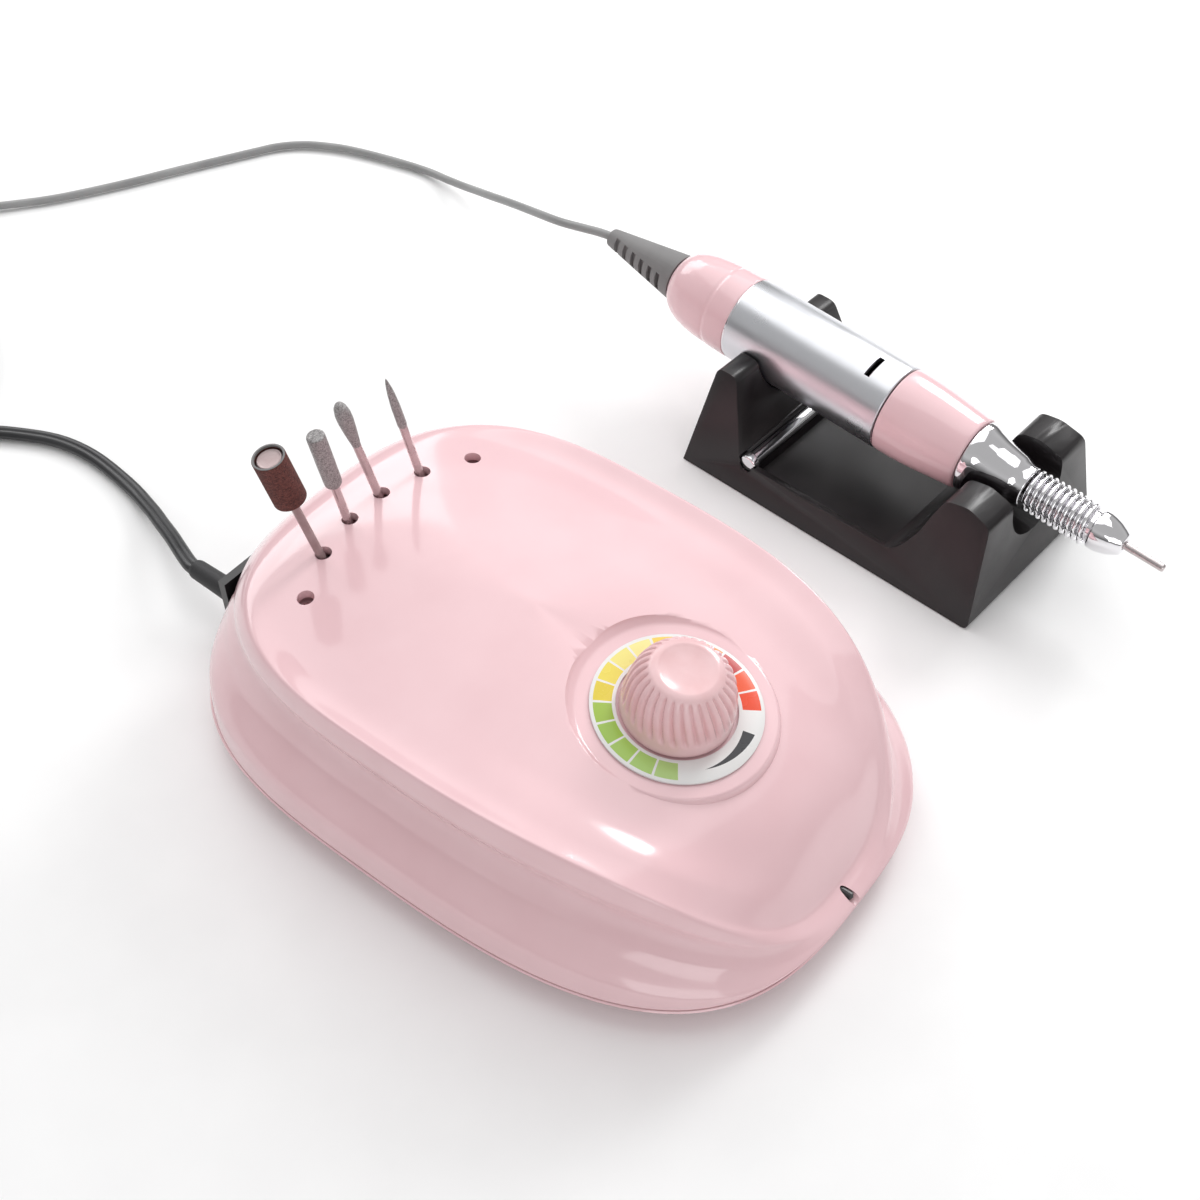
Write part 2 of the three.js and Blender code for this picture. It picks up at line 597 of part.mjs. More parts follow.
// A rocker switch's frame: its body behind the panel, its flange in front, and the rocker's well.
function switchFrame() {
  const [halfX, halfZ] = SWITCH_HALF;
  const face = PANEL_THICKNESS + GAP + FLANGE;
  return cut(
    join(
      block([-halfX, -SWITCH_DEPTH, -halfZ], [halfX, PANEL_THICKNESS + GAP + 0.5, halfZ]),
      block([-halfX - 1, PANEL_THICKNESS + GAP, -halfZ - 1.4], [halfX + 1, face, halfZ + 1.4]),
    ),
    block(
      [-ROCKER_SIZE[0] / 2 - CLEAR, face - 6.5, -ROCKER_SIZE[2] / 2 - 0.9],
      [ROCKER_SIZE[0] / 2 + CLEAR, face + 1, ROCKER_SIZE[2] / 2 + 0.9],
    ),
  );
}

function addPanel(unit) {
  add(unit, 'rear_panel', rearPanel(), BLACK());
  Object.entries(SWITCH_X).forEach(([name, x]) => {
    add(unit, `${name}_switch`, switchFrame(), BLACK(), [x, PANEL_Y, PANEL_MID]);
    const half = ROCKER_SIZE.map((size) => size / 2);
    const rocker = block(half.map((size) => -size), half);
    const pivotY = PANEL_FACE + GAP + FLANGE - ROCKER_SINK;
    const colour = name === 'power' ? GRIT() : BLACK();
    const key = add(unit, `${name}_rocker`, rocker, colour, [x, pivotY, PANEL_MID]);
    key.rotation.x = THREE.MathUtils.degToRad(-ROCKER_TILT);
  });
  const holder = facingRear(turned([
    [0, -16], [FUSE_RADIUS, -16], [FUSE_RADIUS, GAP], [ROUND_FLANGE, GAP], [ROUND_FLANGE, GAP + FLANGE],
    [FUSE_BORE, GAP + FLANGE], [FUSE_BORE, -12], [0, -12],
  ], 20));
  add(unit, 'fuse_holder', holder, BLACK(), [FUSE_X, PANEL_FACE, PANEL_MID]);
  const rim = 2 * GAP + FLANGE;
  const cap = facingRear(turned([
    [0, -8], [FUSE_BORE - CLEAR, -8], [FUSE_BORE - CLEAR, rim], [ROUND_FLANGE - 1.2, rim],
    [ROUND_FLANGE - 1.5, rim + 4], [0, rim + 4.4],
  ], 16));
  add(unit, 'fuse_cap', cap, BLACK(), [FUSE_X, PANEL_FACE, PANEL_MID]);
  const socket = facingRear(turned([
    [0, -13], [SOCKET_RADIUS, -13], [SOCKET_RADIUS, GAP], [ROUND_FLANGE - 0.3, GAP],
    [ROUND_FLANGE - 0.3, GAP + FLANGE], [SOCKET_BORE, GAP + FLANGE], [SOCKET_BORE, -10], [0, -10],
  ], 20));
  add(unit, 'handpiece_socket', socket, STEEL(), [SOCKET_X, PANEL_FACE, PANEL_MID]);
  const relief = facingRear(turned([
    [0, -6], [RELIEF_FLANGE - 1, -6], [RELIEF_FLANGE - 1, GAP], [RELIEF_FLANGE, GAP],
    [RELIEF_FLANGE, GAP + 2], [RELIEF_FLANGE - 0.9, MAINS_RELIEF_LENGTH], [0, MAINS_RELIEF_LENGTH],
  ], 20));
  add(unit, 'mains_relief', relief, RUBBER(), [MAINS_X, PANEL_FACE, MAINS_Z]);
}

// ---- Bits in the rack ---------------------------------------------------------------------

// Each bit's profile is measured up its own axis from the bottom of its shank.
function shank(top, ...head) {
  return turned([[0, 0], [SHANK_RADIUS, 0], [SHANK_RADIUS, top], ...head], 16);
}

const DRUM_FOOT = 31.2;
const DRUM_TOP = DRUM_FOOT + BAND_LENGTH - 0.4;
const BITS = [
  {
    name: 'drum_mandrel', hole: 1, reach: 0.8, material: STEEL,
    body: shank(DRUM_FOOT, [DRUM_RADIUS, DRUM_FOOT], [DRUM_RADIUS, DRUM_TOP], [0, DRUM_TOP]),
  },
  {
    name: 'sanding_band', hole: 1, reach: 0.8, material: GRIT,
    body: pipe(BAND_RADIUS, DRUM_RADIUS + GAP, DRUM_FOOT, DRUM_FOOT + BAND_LENGTH, 24),
  },
  {
    name: 'cylinder_bit', hole: 0, reach: 0.55, material: DIAMOND,
    body: shank(21.5, [2.4, 23], [2.5, 40], [2.1, 41], [0, 41]),
  },
  {
    name: 'flame_bit', hole: 3, reach: 0.75, material: DIAMOND,
    body: shank(28, [1.35, 30], [2.15, 38.5], [2.1, 41], [1.4, 43.6], [0, 44.6]),
  },
  {
    name: 'needle_bit', hole: 4, reach: 0.65, material: DIAMOND,
    body: shank(26, [1.3, 27.5], [1.25, 34], [0.75, 41], [0, 44.6]),
  },
];

// A bit leans across its hole: low on one side of the pocket, high on the other side of the hole.
function addBits(unit) {
  const heading = THREE.MathUtils.degToRad(LEAN_HEADING);
  BITS.forEach(({ name, hole, reach, material, body }) => {
    const [x, y] = HOLE_SPOTS[hole];
    const side = new THREE.Vector3(Math.cos(heading), Math.sin(heading), 0).multiplyScalar(reach);
    const foot = new THREE.Vector3(x, y, RACK_TOP - POCKET_DEPTH + 0.6).sub(side);
    const lip = new THREE.Vector3(x, y, HOLE_TOP).add(side);
    const mesh = add(unit, name, body, material(), foot.toArray());
    mesh.quaternion.setFromUnitVectors(new THREE.Vector3(0, 0, 1), lip.sub(foot).normalize());
  });
}

// ---- Cradle -------------------------------------------------------------------------------

// A solid about the handpiece's axis, drawn along +Z from the cap's rear edge, put in the cradle.
function alongHandpiece(body) {
  return body.rotate([90 + HAND_TILT, 0, 0]).translate(HAND_PLACE);
}

function cradleBody() {
  const rear = CRADLE_LENGTH / 2;
  const [crest, high, brow] = FRONT_BLOCK.top;
  const { foot } = FRONT_BLOCK;
  const profile = [
    [0, 0], [REAR_BLOCK.top[0], CRADLE_HEIGHT - 0.5], [REAR_BLOCK.top[1], CRADLE_HEIGHT - 0.5],
    [REAR_BLOCK.foot, CRADLE_LOW], [foot, CRADLE_LOW], [foot + 4, CRADLE_LOW + 3],
    [foot + 8, CRADLE_LOW + 10],
    [foot + 11, CRADLE_LOW + 19], [crest, CRADLE_HEIGHT - 1.5], [high, CRADLE_HEIGHT],
    [brow, CRADLE_HEIGHT - 2.5], [CRADLE_LENGTH, 0],
  ];
  const side = prism(profile, -CRADLE_WIDTH / 2, CRADLE_WIDTH / 2)
    .rotate([90, 0, 90])
    .rotate([0, 0, 180])
    .translate([0, rear, 0]);
  const half = CRADLE_WIDTH / 2;
  const section = prism([
    [-half, 0], [half, 0], [half - CRADLE_LEAN, CRADLE_HEIGHT], [CRADLE_LEAN - half, CRADLE_HEIGHT],
  ], -CRADLE_LENGTH, CRADLE_LENGTH).rotate([90, 0, 0]);
  const well = block(
    [CRADLE_SIDE - half, rear - FRONT_BLOCK.foot + 1, CRADLE_FLOOR],
    [half - CRADLE_SIDE, rear - REAR_BLOCK.foot - 4, CRADLE_HEIGHT + 1],
  );
  // Each saddle is a round channel about the handpiece's axis that is open above.
  const saddle = (radius, from, to) => alongHandpiece(join(
    disc(radius, from, to, 40),
    block([-radius, 0, from], [radius, 40, to]),
  ));
  const start = HAND_PLACE[1] - rear;
  const groove = (radius, from, to) => disc(radius, from, to, 20)
    .rotate([0, 90, 0])
    .translate([0, rear - BAR_PLACE, BAR_Z]);
  return cut(
    side.intersect(section),
    well,
    saddle(BODY_RADIUS + SADDLE_AIR, start - 5, start + BAR_PLACE + 20),
    saddle(FRONT_SADDLE_RADIUS, start + FRONT_BLOCK.foot - 15, start + CRADLE_LENGTH + 20),
    groove(BAR_RADIUS + GAP, -half, half),
    groove(BAR_COLLAR_RADIUS + GAP, -BAR_HALF - GAP, -BAR_HALF + 3.5),
  );
}

function addCradle(cradle) {
  add(cradle, 'cradle_body', cradleBody(), BLACK());
  const rod = join(
    disc(BAR_RADIUS, -BAR_HALF, BAR_HALF, 16),
    disc(BAR_COLLAR_RADIUS, -BAR_HALF, -BAR_HALF + 3, 16),
  ).rotate([0, 90, 0]);
  add(cradle, 'cradle_bar', rod, CHROME(), [0, CRADLE_LENGTH / 2 - BAR_PLACE, BAR_Z]);
}

// ---- Handpiece ----------------------------------------------------------------------------

const SLEEVE_FOOT = CAP_LENGTH + GAP;
const SLEEVE_END = SLEEVE_FOOT + SLEEVE_LENGTH;
const COLLAR_FOOT = SLEEVE_END + GAP;
const COLLAR_END = COLLAR_FOOT + COLLAR_LENGTH;
const CONE_FOOT = COLLAR_END + GAP;
const CONE_END = CONE_FOOT + CONE_LENGTH;
const SPRING_FOOT = CONE_END + GAP;
const NOSE_FOOT = SPRING_FOOT + SPRING_LENGTH + GAP;
const NOSE_END = NOSE_FOOT + NOSE_LENGTH;
const BODY_BORE = BODY_RADIUS - BODY_WALL;

// The cord relief is a tapered sleeve with rows of slots through it, and a barb inside the cap.
function handpieceRelief() {
  const body = turned([
    [0, -RELIEF_LENGTH], [3, -RELIEF_LENGTH], [CAP_REAR_RADIUS - 0.2, -GAP], [NECK_RADIUS, -GAP],
    [NECK_RADIUS, 2 + GAP], [NECK_RADIUS + 1.5, 2 + GAP], [NECK_RADIUS + 1.5, 4], [0, 4],
  ], 24);
  const rows = Array.from({ length: 6 }, (_, i) => {
    const low = -RELIEF_LENGTH + 4 + i * 4;
    const core = 2 + i * 0.55;
    return [-1, 1].map((side) => block(
      [Math.min(side * core, side * 12), -3, low],
      [Math.max(side * core, side * 12), 3, low + 1.8],
    ));
  });
  return cut(body, ...rows.flat());
}

function rearCap() {
  const neck = NECK_RADIUS + CLEAR;
  return turnedRing([
    [neck, 0], [CAP_REAR_RADIUS, 0], [CAP_REAR_RADIUS + 2.4, 2.5], [CAP_REAR_RADIUS + 4.2, 7],
    [CAP_REAR_RADIUS + 5.2, 14], [BODY_RADIUS, 20], [BODY_RADIUS, CAP_LENGTH], [BODY_BORE, CAP_LENGTH],
    [BODY_BORE, 19], [BODY_BORE - 1.4, 9], [BODY_BORE - 4, 4], [BODY_BORE - 5.5, 2], [neck, 2],
  ], 40);
}

function bodySleeve() {
  const slot = block([-4, 0, SLEEVE_END - 10], [4, BODY_RADIUS + 5, SLEEVE_END - 8]).rotate([0, 0, 12]);
  return cut(pipe(BODY_RADIUS, BODY_BORE, SLEEVE_FOOT, SLEEVE_END, 48), slot);
}

function twistCollar() {
  return turnedRing([
    [COLLAR_BORE, COLLAR_FOOT], [BODY_RADIUS - 0.3, COLLAR_FOOT], [BODY_RADIUS, COLLAR_FOOT + 0.5],
    [BODY_RADIUS - 0.2, COLLAR_FOOT + 9], [COLLAR_FRONT_RADIUS + 0.2, COLLAR_END - 1],
    [COLLAR_FRONT_RADIUS - 0.3, COLLAR_END], [COLLAR_BORE, COLLAR_END],
  ], 40);
}

function noseCone() {
  const tube = COLLAR_BORE - CLEAR;
  return turnedRing([
    [CONE_BORE, COLLAR_FOOT], [tube, COLLAR_FOOT], [tube, CONE_FOOT], [COLLAR_FRONT_RADIUS - 0.3, CONE_FOOT],
    [COLLAR_FRONT_RADIUS - 0.3, CONE_FOOT + 1.5], [COLLAR_FRONT_RADIUS - 1.4, CONE_FOOT + 4],
    [CONE_FRONT_RADIUS + 1.2, CONE_END - 5], [CONE_FRONT_RADIUS, CONE_END - 1],
    [CONE_FRONT_RADIUS, CONE_END], [CONE_BORE, CONE_END],
  ], 36);
}

class Helix extends THREE.Curve {
  constructor(radius, low, high, turns) {
    super();
    Object.assign(this, { radius, low, high, turns });
  }

  getPoint(t) {
    const angle = 2 * Math.PI * this.turns * t;
    const height = this.low + (this.high - this.low) * t;
    return new THREE.Vector3(this.radius * Math.cos(angle), this.radius * Math.sin(angle), height);
  }
}

function noseSpring() {
  const margin = SPRING_WIRE + 0.2;
  const last = SPRING_FOOT + SPRING_LENGTH - margin;
  const path = new Helix(SPRING_RADIUS, SPRING_FOOT + margin, last, SPRING_TURNS);
  return bar(path, SPRING_WIRE, SPRING_TURNS * 12, 6);
}

// The nose: a barrel inside the spring, and the rounded tip in front of it.
function noseTip() {
  const barrel = SPRING_RADIUS - SPRING_WIRE - 0.6;
  const bore = SPINDLE_RADIUS + CLEAR;
  const front = CHUCK_BORE + 0.1;
  return turnedRing([
    [bore, SPRING_FOOT], [barrel, SPRING_FOOT], [barrel, NOSE_FOOT], [NOSE_RADIUS - 0.3, NOSE_FOOT],
    [NOSE_RADIUS, NOSE_FOOT + 0.8], [NOSE_RADIUS, NOSE_FOOT + 2], [NOSE_RADIUS - 0.8, NOSE_FOOT + 4.5],
    [NOSE_FRONT_RADIUS + 0.9, NOSE_END - 1.6], [NOSE_FRONT_RADIUS, NOSE_END], [front, NOSE_END],
    [front, NOSE_FOOT + 2], [bore, NOSE_FOOT + 1],
  ], 28);
}

function addHandpiece(cradle) {
  const hand = new THREE.Group();
  hand.position.set(...HAND_PLACE);
  hand.rotation.x = THREE.MathUtils.degToRad(90 + HAND_TILT);
  cradle.add(hand);
  const motor = { foot: 20, end: SLEEVE_END - 14 };
  const chuckFoot = NOSE_FOOT - 12;
  const chuckEnd = NOSE_FOOT + 0.7;
  add(hand, 'handpiece_relief', handpieceRelief(), GREY());
  add(hand, 'rear_cap', rearCap(), PINK());
  add(hand, 'body_sleeve', bodySleeve(), SATIN());
  add(hand, 'twist_collar', twistCollar(), PINK());
  add(hand, 'nose_cone', noseCone(), CHROME());
  add(hand, 'nose_spring', noseSpring(), CHROME());
  add(hand, 'nose_tip', noseTip(), CHROME());
  add(hand, 'motor', disc(BODY_BORE - 0.5, motor.foot, motor.end, 32), IRON());
  const rearBearing = pipe(BODY_BORE - GAP, SPINDLE_RADIUS + CLEAR, SLEEVE_END - 9, SLEEVE_END - 4, 32);
  add(hand, 'rear_bearing', rearBearing, STEEL());
  const frontBearing = pipe(CONE_BORE - GAP, SPINDLE_RADIUS + CLEAR, CONE_END - 7, CONE_END - 2, 24);
  add(hand, 'front_bearing', frontBearing, STEEL());
  add(hand, 'spindle', disc(SPINDLE_RADIUS, motor.end + GAP, chuckFoot - GAP, 16), STEEL());
  const chuck = turned([
    [0, chuckFoot], [SPINDLE_RADIUS, chuckFoot], [SPINDLE_RADIUS, chuckEnd], [CHUCK_BORE, chuckEnd],
    [CHUCK_BORE, chuckFoot + 1], [0, chuckFoot + 1],
  ], 16);
  add(hand, 'chuck_sleeve', chuck, STEEL());
  const pinEnd = NOSE_END + PIN_REACH;
  const pinFoot = Math.max(pinEnd - PIN_LENGTH, chuckFoot + 1 + GAP);
  add(hand, 'test_pin', disc(SHANK_RADIUS, pinFoot, pinEnd, 16), STEEL());
}

// ---- Cords --------------------------------------------------------------------------------

function route(points) {
  return new THREE.CatmullRomCurve3(points.map((p) => new THREE.Vector3(...p)), false, 'centripetal');
}

// A coil of cord, as the ring that its turns fill.
function coilRing({ inner, outer, top }) {
  return turnedRing([
    [inner + 1, COIL_FOOT], [outer - 1, COIL_FOOT], [outer, COIL_FOOT + 1], [outer, top - 1],
    [outer - 1, top], [inner + 1, top], [inner, top - 1], [inner, COIL_FOOT + 1],
  ], 36);
}

// A strap closed round the coil's section, on the coil's +X side.
function coilTie({ inner, outer, top }, width) {
  const air = 2 * GAP;
  return cut(
    block(
      [inner - air - TIE_STRAP, -width / 2, COIL_FOOT - GAP - TIE_STRAP],
      [outer + air + TIE_STRAP, width / 2, top + GAP + TIE_STRAP],
    ),
    block([inner - air, -width, COIL_FOOT - GAP], [outer + air, width, top + GAP]),
  );
}

// The plug lies on the table with its neck towards the coil and its pins pointing away.
function mainsPlug() {
  const { width, length, low, high, neck, neckLength, pinGap, pinLength } = PLUG;
  const middle = (low + high) / 2;
  const pins = [-1, 1].map((side) => block(
    [side * pinGap - 0.75, neckLength + length - 1, middle - 3.15],
    [side * pinGap + 0.75, neckLength + length + pinLength, middle + 3.15],
  ));
  return join(
    facingRear(disc(neck, 0, neckLength + 1, 16)).translate([0, 0, middle]),
    block([-width / 2, neckLength, low], [width / 2, neckLength + length, high]),
    ...pins,
  );
}

function leadConnector() {
  const { neck, neckLength, radius, length, plugRadius, plugLength } = CONNECTOR;
  return facingRear(turned([
    [0, 0], [neck, 0], [neck + 1, neckLength], [radius, neckLength + 0.5], [radius, neckLength + length],
    [plugRadius, neckLength + length], [plugRadius, neckLength + length + plugLength],
    [0, neckLength + length + plugLength],
  ], 20));
}

// How far beyond a coil's widest place a piece of a half width starts, when the cord that it
// ends leaves the coil along a tangent.
function pastCoil({ outer }, offset, halfWidth) {
  return Math.sqrt(outer ** 2 - (offset - halfWidth) ** 2) + GAP;
}

function addCords(unit) {
  add(unit, 'mains_cord', bar(route(MAINS_ROUTE), MAINS_DIAMETER / 2, 60, 10), BLACK());
  add(unit, 'handpiece_cord', bar(route(LEAD_ROUTE), LEAD_DIAMETER / 2, 80, 8), LEAD_GREY());
  const [mainsX, mainsY] = MAINS_COIL.centre;
  const [leadX, leadY] = LEAD_COIL.centre;
  add(unit, 'mains_coil', coilRing(MAINS_COIL), BLACK(), [mainsX, mainsY, 0]);
  add(unit, 'handpiece_coil', coilRing(LEAD_COIL), LEAD_GREY(), [leadX, leadY, 0]);
  add(unit, 'mains_tie', coilTie(MAINS_COIL, 6), RUBBER(), [mainsX, mainsY, 0]);
  add(unit, 'handpiece_tie', coilTie(LEAD_COIL, 4), RUBBER(), [leadX, leadY, 0]);
  const mainsOffset = MAINS_COIL.outer - MAINS_DIAMETER / 2;
  const plugY = mainsY + pastCoil(MAINS_COIL, mainsOffset, PLUG.neck);
  add(unit, 'mains_plug', mainsPlug(), BLACK(), [mainsX - mainsOffset, plugY, 0]);
  const leadOffset = LEAD_COIL.outer - LEAD_DIAMETER / 2;
  const connectorX = leadX - pastCoil(LEAD_COIL, leadOffset, CONNECTOR.neck);
  const connectorZ = CONNECTOR.radius + 0.2;
  const connector = add(
    unit, 'handpiece_connector', leadConnector(), STEEL(), [connectorX, leadY + leadOffset, connectorZ],
  );
  connector.rotation.z = Math.PI / 2;
}

// ---- Assembly -----------------------------------------------------------------------------

const CORD_PIECES = [
  'mains_cord', 'mains_coil', 'mains_tie', 'mains_plug',
  'handpiece_cord', 'handpiece_coil', 'handpiece_tie', 'handpiece_connector',
];

const group = new THREE.Group();
addCase(group);
addDial(group);
addInside(group);
addPanel(group);
addBits(group);
const cradle = new THREE.Group();
cradle.position.set(...CRADLE_PLACE);
cradle.rotation.z = THREE.MathUtils.degToRad(CRADLE_YAW);
addCradle(cradle);
addHandpiece(cradle);
group.add(cradle);
addCords(group);

// Move the bottom centre of everything but the cords to the origin.
group.updateMatrixWorld(true);
const box = new THREE.Box3();
group.traverse((node) => {
  if (node.isMesh && !CORD_PIECES.includes(node.name)) {
    box.expandByObject(node, true);
  }
});
group.position.set(-(box.min.x + box.max.x) / 2, -(box.min.y + box.max.y) / 2, -box.min.z);

export default group;
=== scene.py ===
# %% [markdown]
# # An electric nail drill
# The object is a manicure set: a glossy moulded control unit with a speed dial and a rack of bits,
# a pen-shaped handpiece that lies in a black cradle, and two cords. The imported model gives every
# real place and size, so this file only makes the looks: finer surfaces, finishes, light and camera.

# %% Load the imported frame
import json
import math

import bmesh
import bpy
import numpy as np
from mathutils import Matrix, Vector


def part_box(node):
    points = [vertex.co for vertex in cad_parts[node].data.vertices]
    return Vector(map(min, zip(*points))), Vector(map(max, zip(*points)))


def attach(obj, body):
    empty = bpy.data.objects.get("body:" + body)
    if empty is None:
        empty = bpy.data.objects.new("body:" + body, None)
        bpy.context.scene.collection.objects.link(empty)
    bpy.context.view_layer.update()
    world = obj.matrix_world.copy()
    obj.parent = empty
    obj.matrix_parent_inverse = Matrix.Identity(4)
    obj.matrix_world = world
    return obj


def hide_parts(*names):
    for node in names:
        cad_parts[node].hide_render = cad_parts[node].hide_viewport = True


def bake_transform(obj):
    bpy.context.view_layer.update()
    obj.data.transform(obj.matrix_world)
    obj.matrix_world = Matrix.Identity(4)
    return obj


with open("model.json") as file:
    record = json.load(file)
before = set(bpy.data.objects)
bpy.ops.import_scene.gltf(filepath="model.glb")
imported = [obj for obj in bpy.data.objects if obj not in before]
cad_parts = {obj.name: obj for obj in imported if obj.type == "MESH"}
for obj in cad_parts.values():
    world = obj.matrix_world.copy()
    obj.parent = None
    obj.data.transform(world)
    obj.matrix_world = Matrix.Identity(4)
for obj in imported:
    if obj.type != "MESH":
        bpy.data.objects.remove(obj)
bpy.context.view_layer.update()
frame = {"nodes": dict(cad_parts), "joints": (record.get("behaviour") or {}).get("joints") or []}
joints = {joint["name"]: joint for joint in frame["joints"]}

# %% [markdown]
# ## Working frames
# Each group of pieces is easiest to draw in its own frame: the dial about its shaft, the handpiece
# along its axis, the cradle on its foot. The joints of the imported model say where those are, so the
# frames are worked out from them. Lengths here are in millimetres, and MM turns them into metres.

# %% Frames of the unit, the dial, the handpiece and the cradle
MM = 0.001


def axes_frame(place, z_axis, y_hint):
    """A 4x4 matrix: its Z column is z_axis, its X column is square to y_hint and Z, its origin is place."""
    z = np.array(z_axis, float) / np.linalg.norm(z_axis)
    x = np.cross(y_hint, z)
    x /= np.linalg.norm(x)
    matrix = np.eye(4)
    matrix[:3, 0], matrix[:3, 1], matrix[:3, 2] = x, np.cross(z, x), z
    matrix[:3, 3] = place
    return matrix


dial_place = np.array(joints["speed_turn"]["pos_m"]) / MM
unit_frame = np.eye(4)
unit_frame[:2, 3] = dial_place[:2]
dial_frame = axes_frame(dial_place, -np.array(joints["speed_turn"]["axis"]), (0, 1, 0))
hand_axis = np.array(joints["rotor_spin"]["axis"])
hand_place = np.array(joints["rotor_spin"]["pos_m"]) / MM - 100 * hand_axis
hand_frame = axes_frame(hand_place, hand_axis, (0, 0, 1))
cradle_low, cradle_high = (np.array(corner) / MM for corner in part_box("cradle_body"))
cradle_middle = (cradle_low + cradle_high) / 2
cradle_frame = axes_frame((*cradle_middle[:2], 0), (0, 0, 1), (-hand_axis[0], -hand_axis[1], 0))
print("dial foot at", dial_place.round(1), "and handpiece cap at", hand_place.round(1))

# %% [markdown]
# ## Camera
# The view is a normal lens from the front left, a little above half-way up. The camera's three
# axes come from its heading and its elevation, which keeps the horizon level.

# %% Camera
CAMERA_PLACE = np.array([-212.18, -141.54, 371.1])
CAMERA_HEADING = math.radians(52.05)
CAMERA_ELEVATION = math.radians(48.54)
CAMERA_LENS = 50.646

forward = np.array([
    math.sin(CAMERA_HEADING) * math.cos(CAMERA_ELEVATION),
    math.cos(CAMERA_HEADING) * math.cos(CAMERA_ELEVATION),
    -math.sin(CAMERA_ELEVATION),
])
camera_data = bpy.data.cameras.new("camera")
camera_data.lens = CAMERA_LENS
camera_data.sensor_width = 36
camera_data.clip_start = 0.01
camera = bpy.data.objects.new("camera", camera_data)
bpy.context.scene.collection.objects.link(camera)
camera.matrix_world = Matrix((axes_frame((0, 0, 0), -forward, (0, 0, 1))).tolist())
camera.location = ((CAMERA_PLACE + unit_frame[:3, 3]) * MM).tolist()
bpy.context.scene.camera = camera
print("camera at", [round(v, 3) for v in camera.location])

# %% [markdown]
# ## Surfaces from grids
# Nearly every piece is a grid of points: rows along it and columns round it. One helper joins the
# neighbours into quads, one turns a profile round an axis, one rounds a profile's corners, and one
# puts the finished arrays into Blender, in place, so that each object stays at the origin.

# %% Grid helpers


def grid_faces(rows, columns, close_rows=False, close_columns=True):
    """Quads between each row and the next and each column and the next, wrapping where asked."""
    row = np.arange(rows if close_rows else rows - 1)[:, None]
    column = np.arange(columns if close_columns else columns - 1)[None, :]
    next_row, next_column = (row + 1) % rows, (column + 1) % columns
    corners = [row * columns + column, row * columns + next_column,
               next_row * columns + next_column, next_row * columns + column]
    return np.stack(corners, axis=-1).reshape(-1, 4)


def prism_faces(count):
    """The faces of a prism: quads between its two outlines of count points, and its two ends."""
    ends = [list(range(count)), list(range(2 * count - 1, count - 1, -1))]
    return grid_faces(2, count).tolist() + ends


def rounded(profile, radius, steps=5):
    """Each inner corner of an open profile becomes a quadratic curve that starts and ends up to
    radius away from it along its two sides."""
    points = np.array(profile, float)
    here, before, after = points[1:-1], points[:-2], points[2:]
    back, on = before - here, after - here
    back_length = np.linalg.norm(back, axis=1, keepdims=True)
    on_length = np.linalg.norm(on, axis=1, keepdims=True)
    reach = np.minimum(radius, 0.45 * np.minimum(back_length, on_length))
    start, end = here + back / back_length * reach, here + on / on_length * reach
    t = np.linspace(0, 1, steps)[None, :, None]
    curve = (1 - t) ** 2 * start[:, None] + 2 * t * (1 - t) * here[:, None] + t**2 * end[:, None]
    return np.vstack([points[:1], curve.reshape(-1, 2), points[-1:]])


def lathe(profile, sides=96):
    """Points of a turned shape: each profile point (radius, height) goes round the Z axis."""
    radius, height = np.array(profile, float).T
    angle = np.linspace(0, 2 * np.pi, sides, endpoint=False)
    x = radius[:, None] * np.cos(angle)
    y = radius[:, None] * np.sin(angle)
    return np.stack([x, y, np.broadcast_to(height[:, None], x.shape)], axis=-1)


def placed(points, matrix):
    """Points in a working frame, in millimetres, as points of the model in metres."""
    flat = np.asarray(points, float).reshape(-1, 3)
    return (flat @ matrix[:3, :3].T + matrix[:3, 3]) * MM


def finish_mesh(mesh, sharp=35):
    """Joins doubled points, turns the faces outwards and shades smoothly but for sharp corners."""
    work = bmesh.new()
    work.from_mesh(mesh)
    bmesh.ops.remove_doubles(work, verts=work.verts, dist=2e-6)
    bmesh.ops.dissolve_degenerate(work, edges=work.edges, dist=1e-7)
    bmesh.ops.recalc_face_normals(work, faces=work.faces)
    work.to_mesh(mesh)
    work.free()
    mesh.polygons.foreach_set("use_smooth", np.ones(len(mesh.polygons), bool))
    mesh.set_sharp_from_angle(angle=math.radians(sharp))


def add_mesh(name, points, faces, sharp=35):
    """A new object from an array of points in metres and a list or array of faces."""
    mesh = bpy.data.meshes.new(name)
    if isinstance(faces, np.ndarray):
        faces = faces.tolist()
    mesh.from_pydata(np.asarray(points).tolist(), [], faces)
    finish_mesh(mesh, sharp)
    piece = bpy.data.objects.new(name, mesh)
    bpy.context.scene.collection.objects.link(piece)
    return piece


def settle(piece, material, body, slot, *nodes):
    """Gives a piece its finish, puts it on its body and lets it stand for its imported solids."""
    piece.data.materials.clear()
    piece.data.materials.append(material)
    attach(piece, body)
    if nodes:
        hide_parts(*nodes)
    print(f"{piece.name}: {len(piece.data.polygons)} faces")


def turned_piece(name, profile, matrix, sides=96, radius=0.3, ring=False, sharp=35):
    """A turned object. A ring's profile closes on itself; any other starts and ends on the axis."""
    if ring:
        doubled = np.vstack([profile[-1:], profile, profile[:1]])
        outline = rounded(doubled, radius)[1:-1]
    else:
        outline = rounded(profile, radius)
    points = lathe(outline, sides)
    faces = grid_faces(len(outline), sides, close_rows=ring)
    return add_mesh(name, placed(points, matrix), faces, sharp)


print("grid helpers ready")

# %% [markdown]
# ## Routes of the two cords
# A cord is one smooth line with a section carried along it. The line runs through the same places
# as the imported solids. Past the end of the open stretch it is wound as for storage: it spirals
# inwards on a low layer, climbs over half a turn, and spirals outwards again on a second layer.

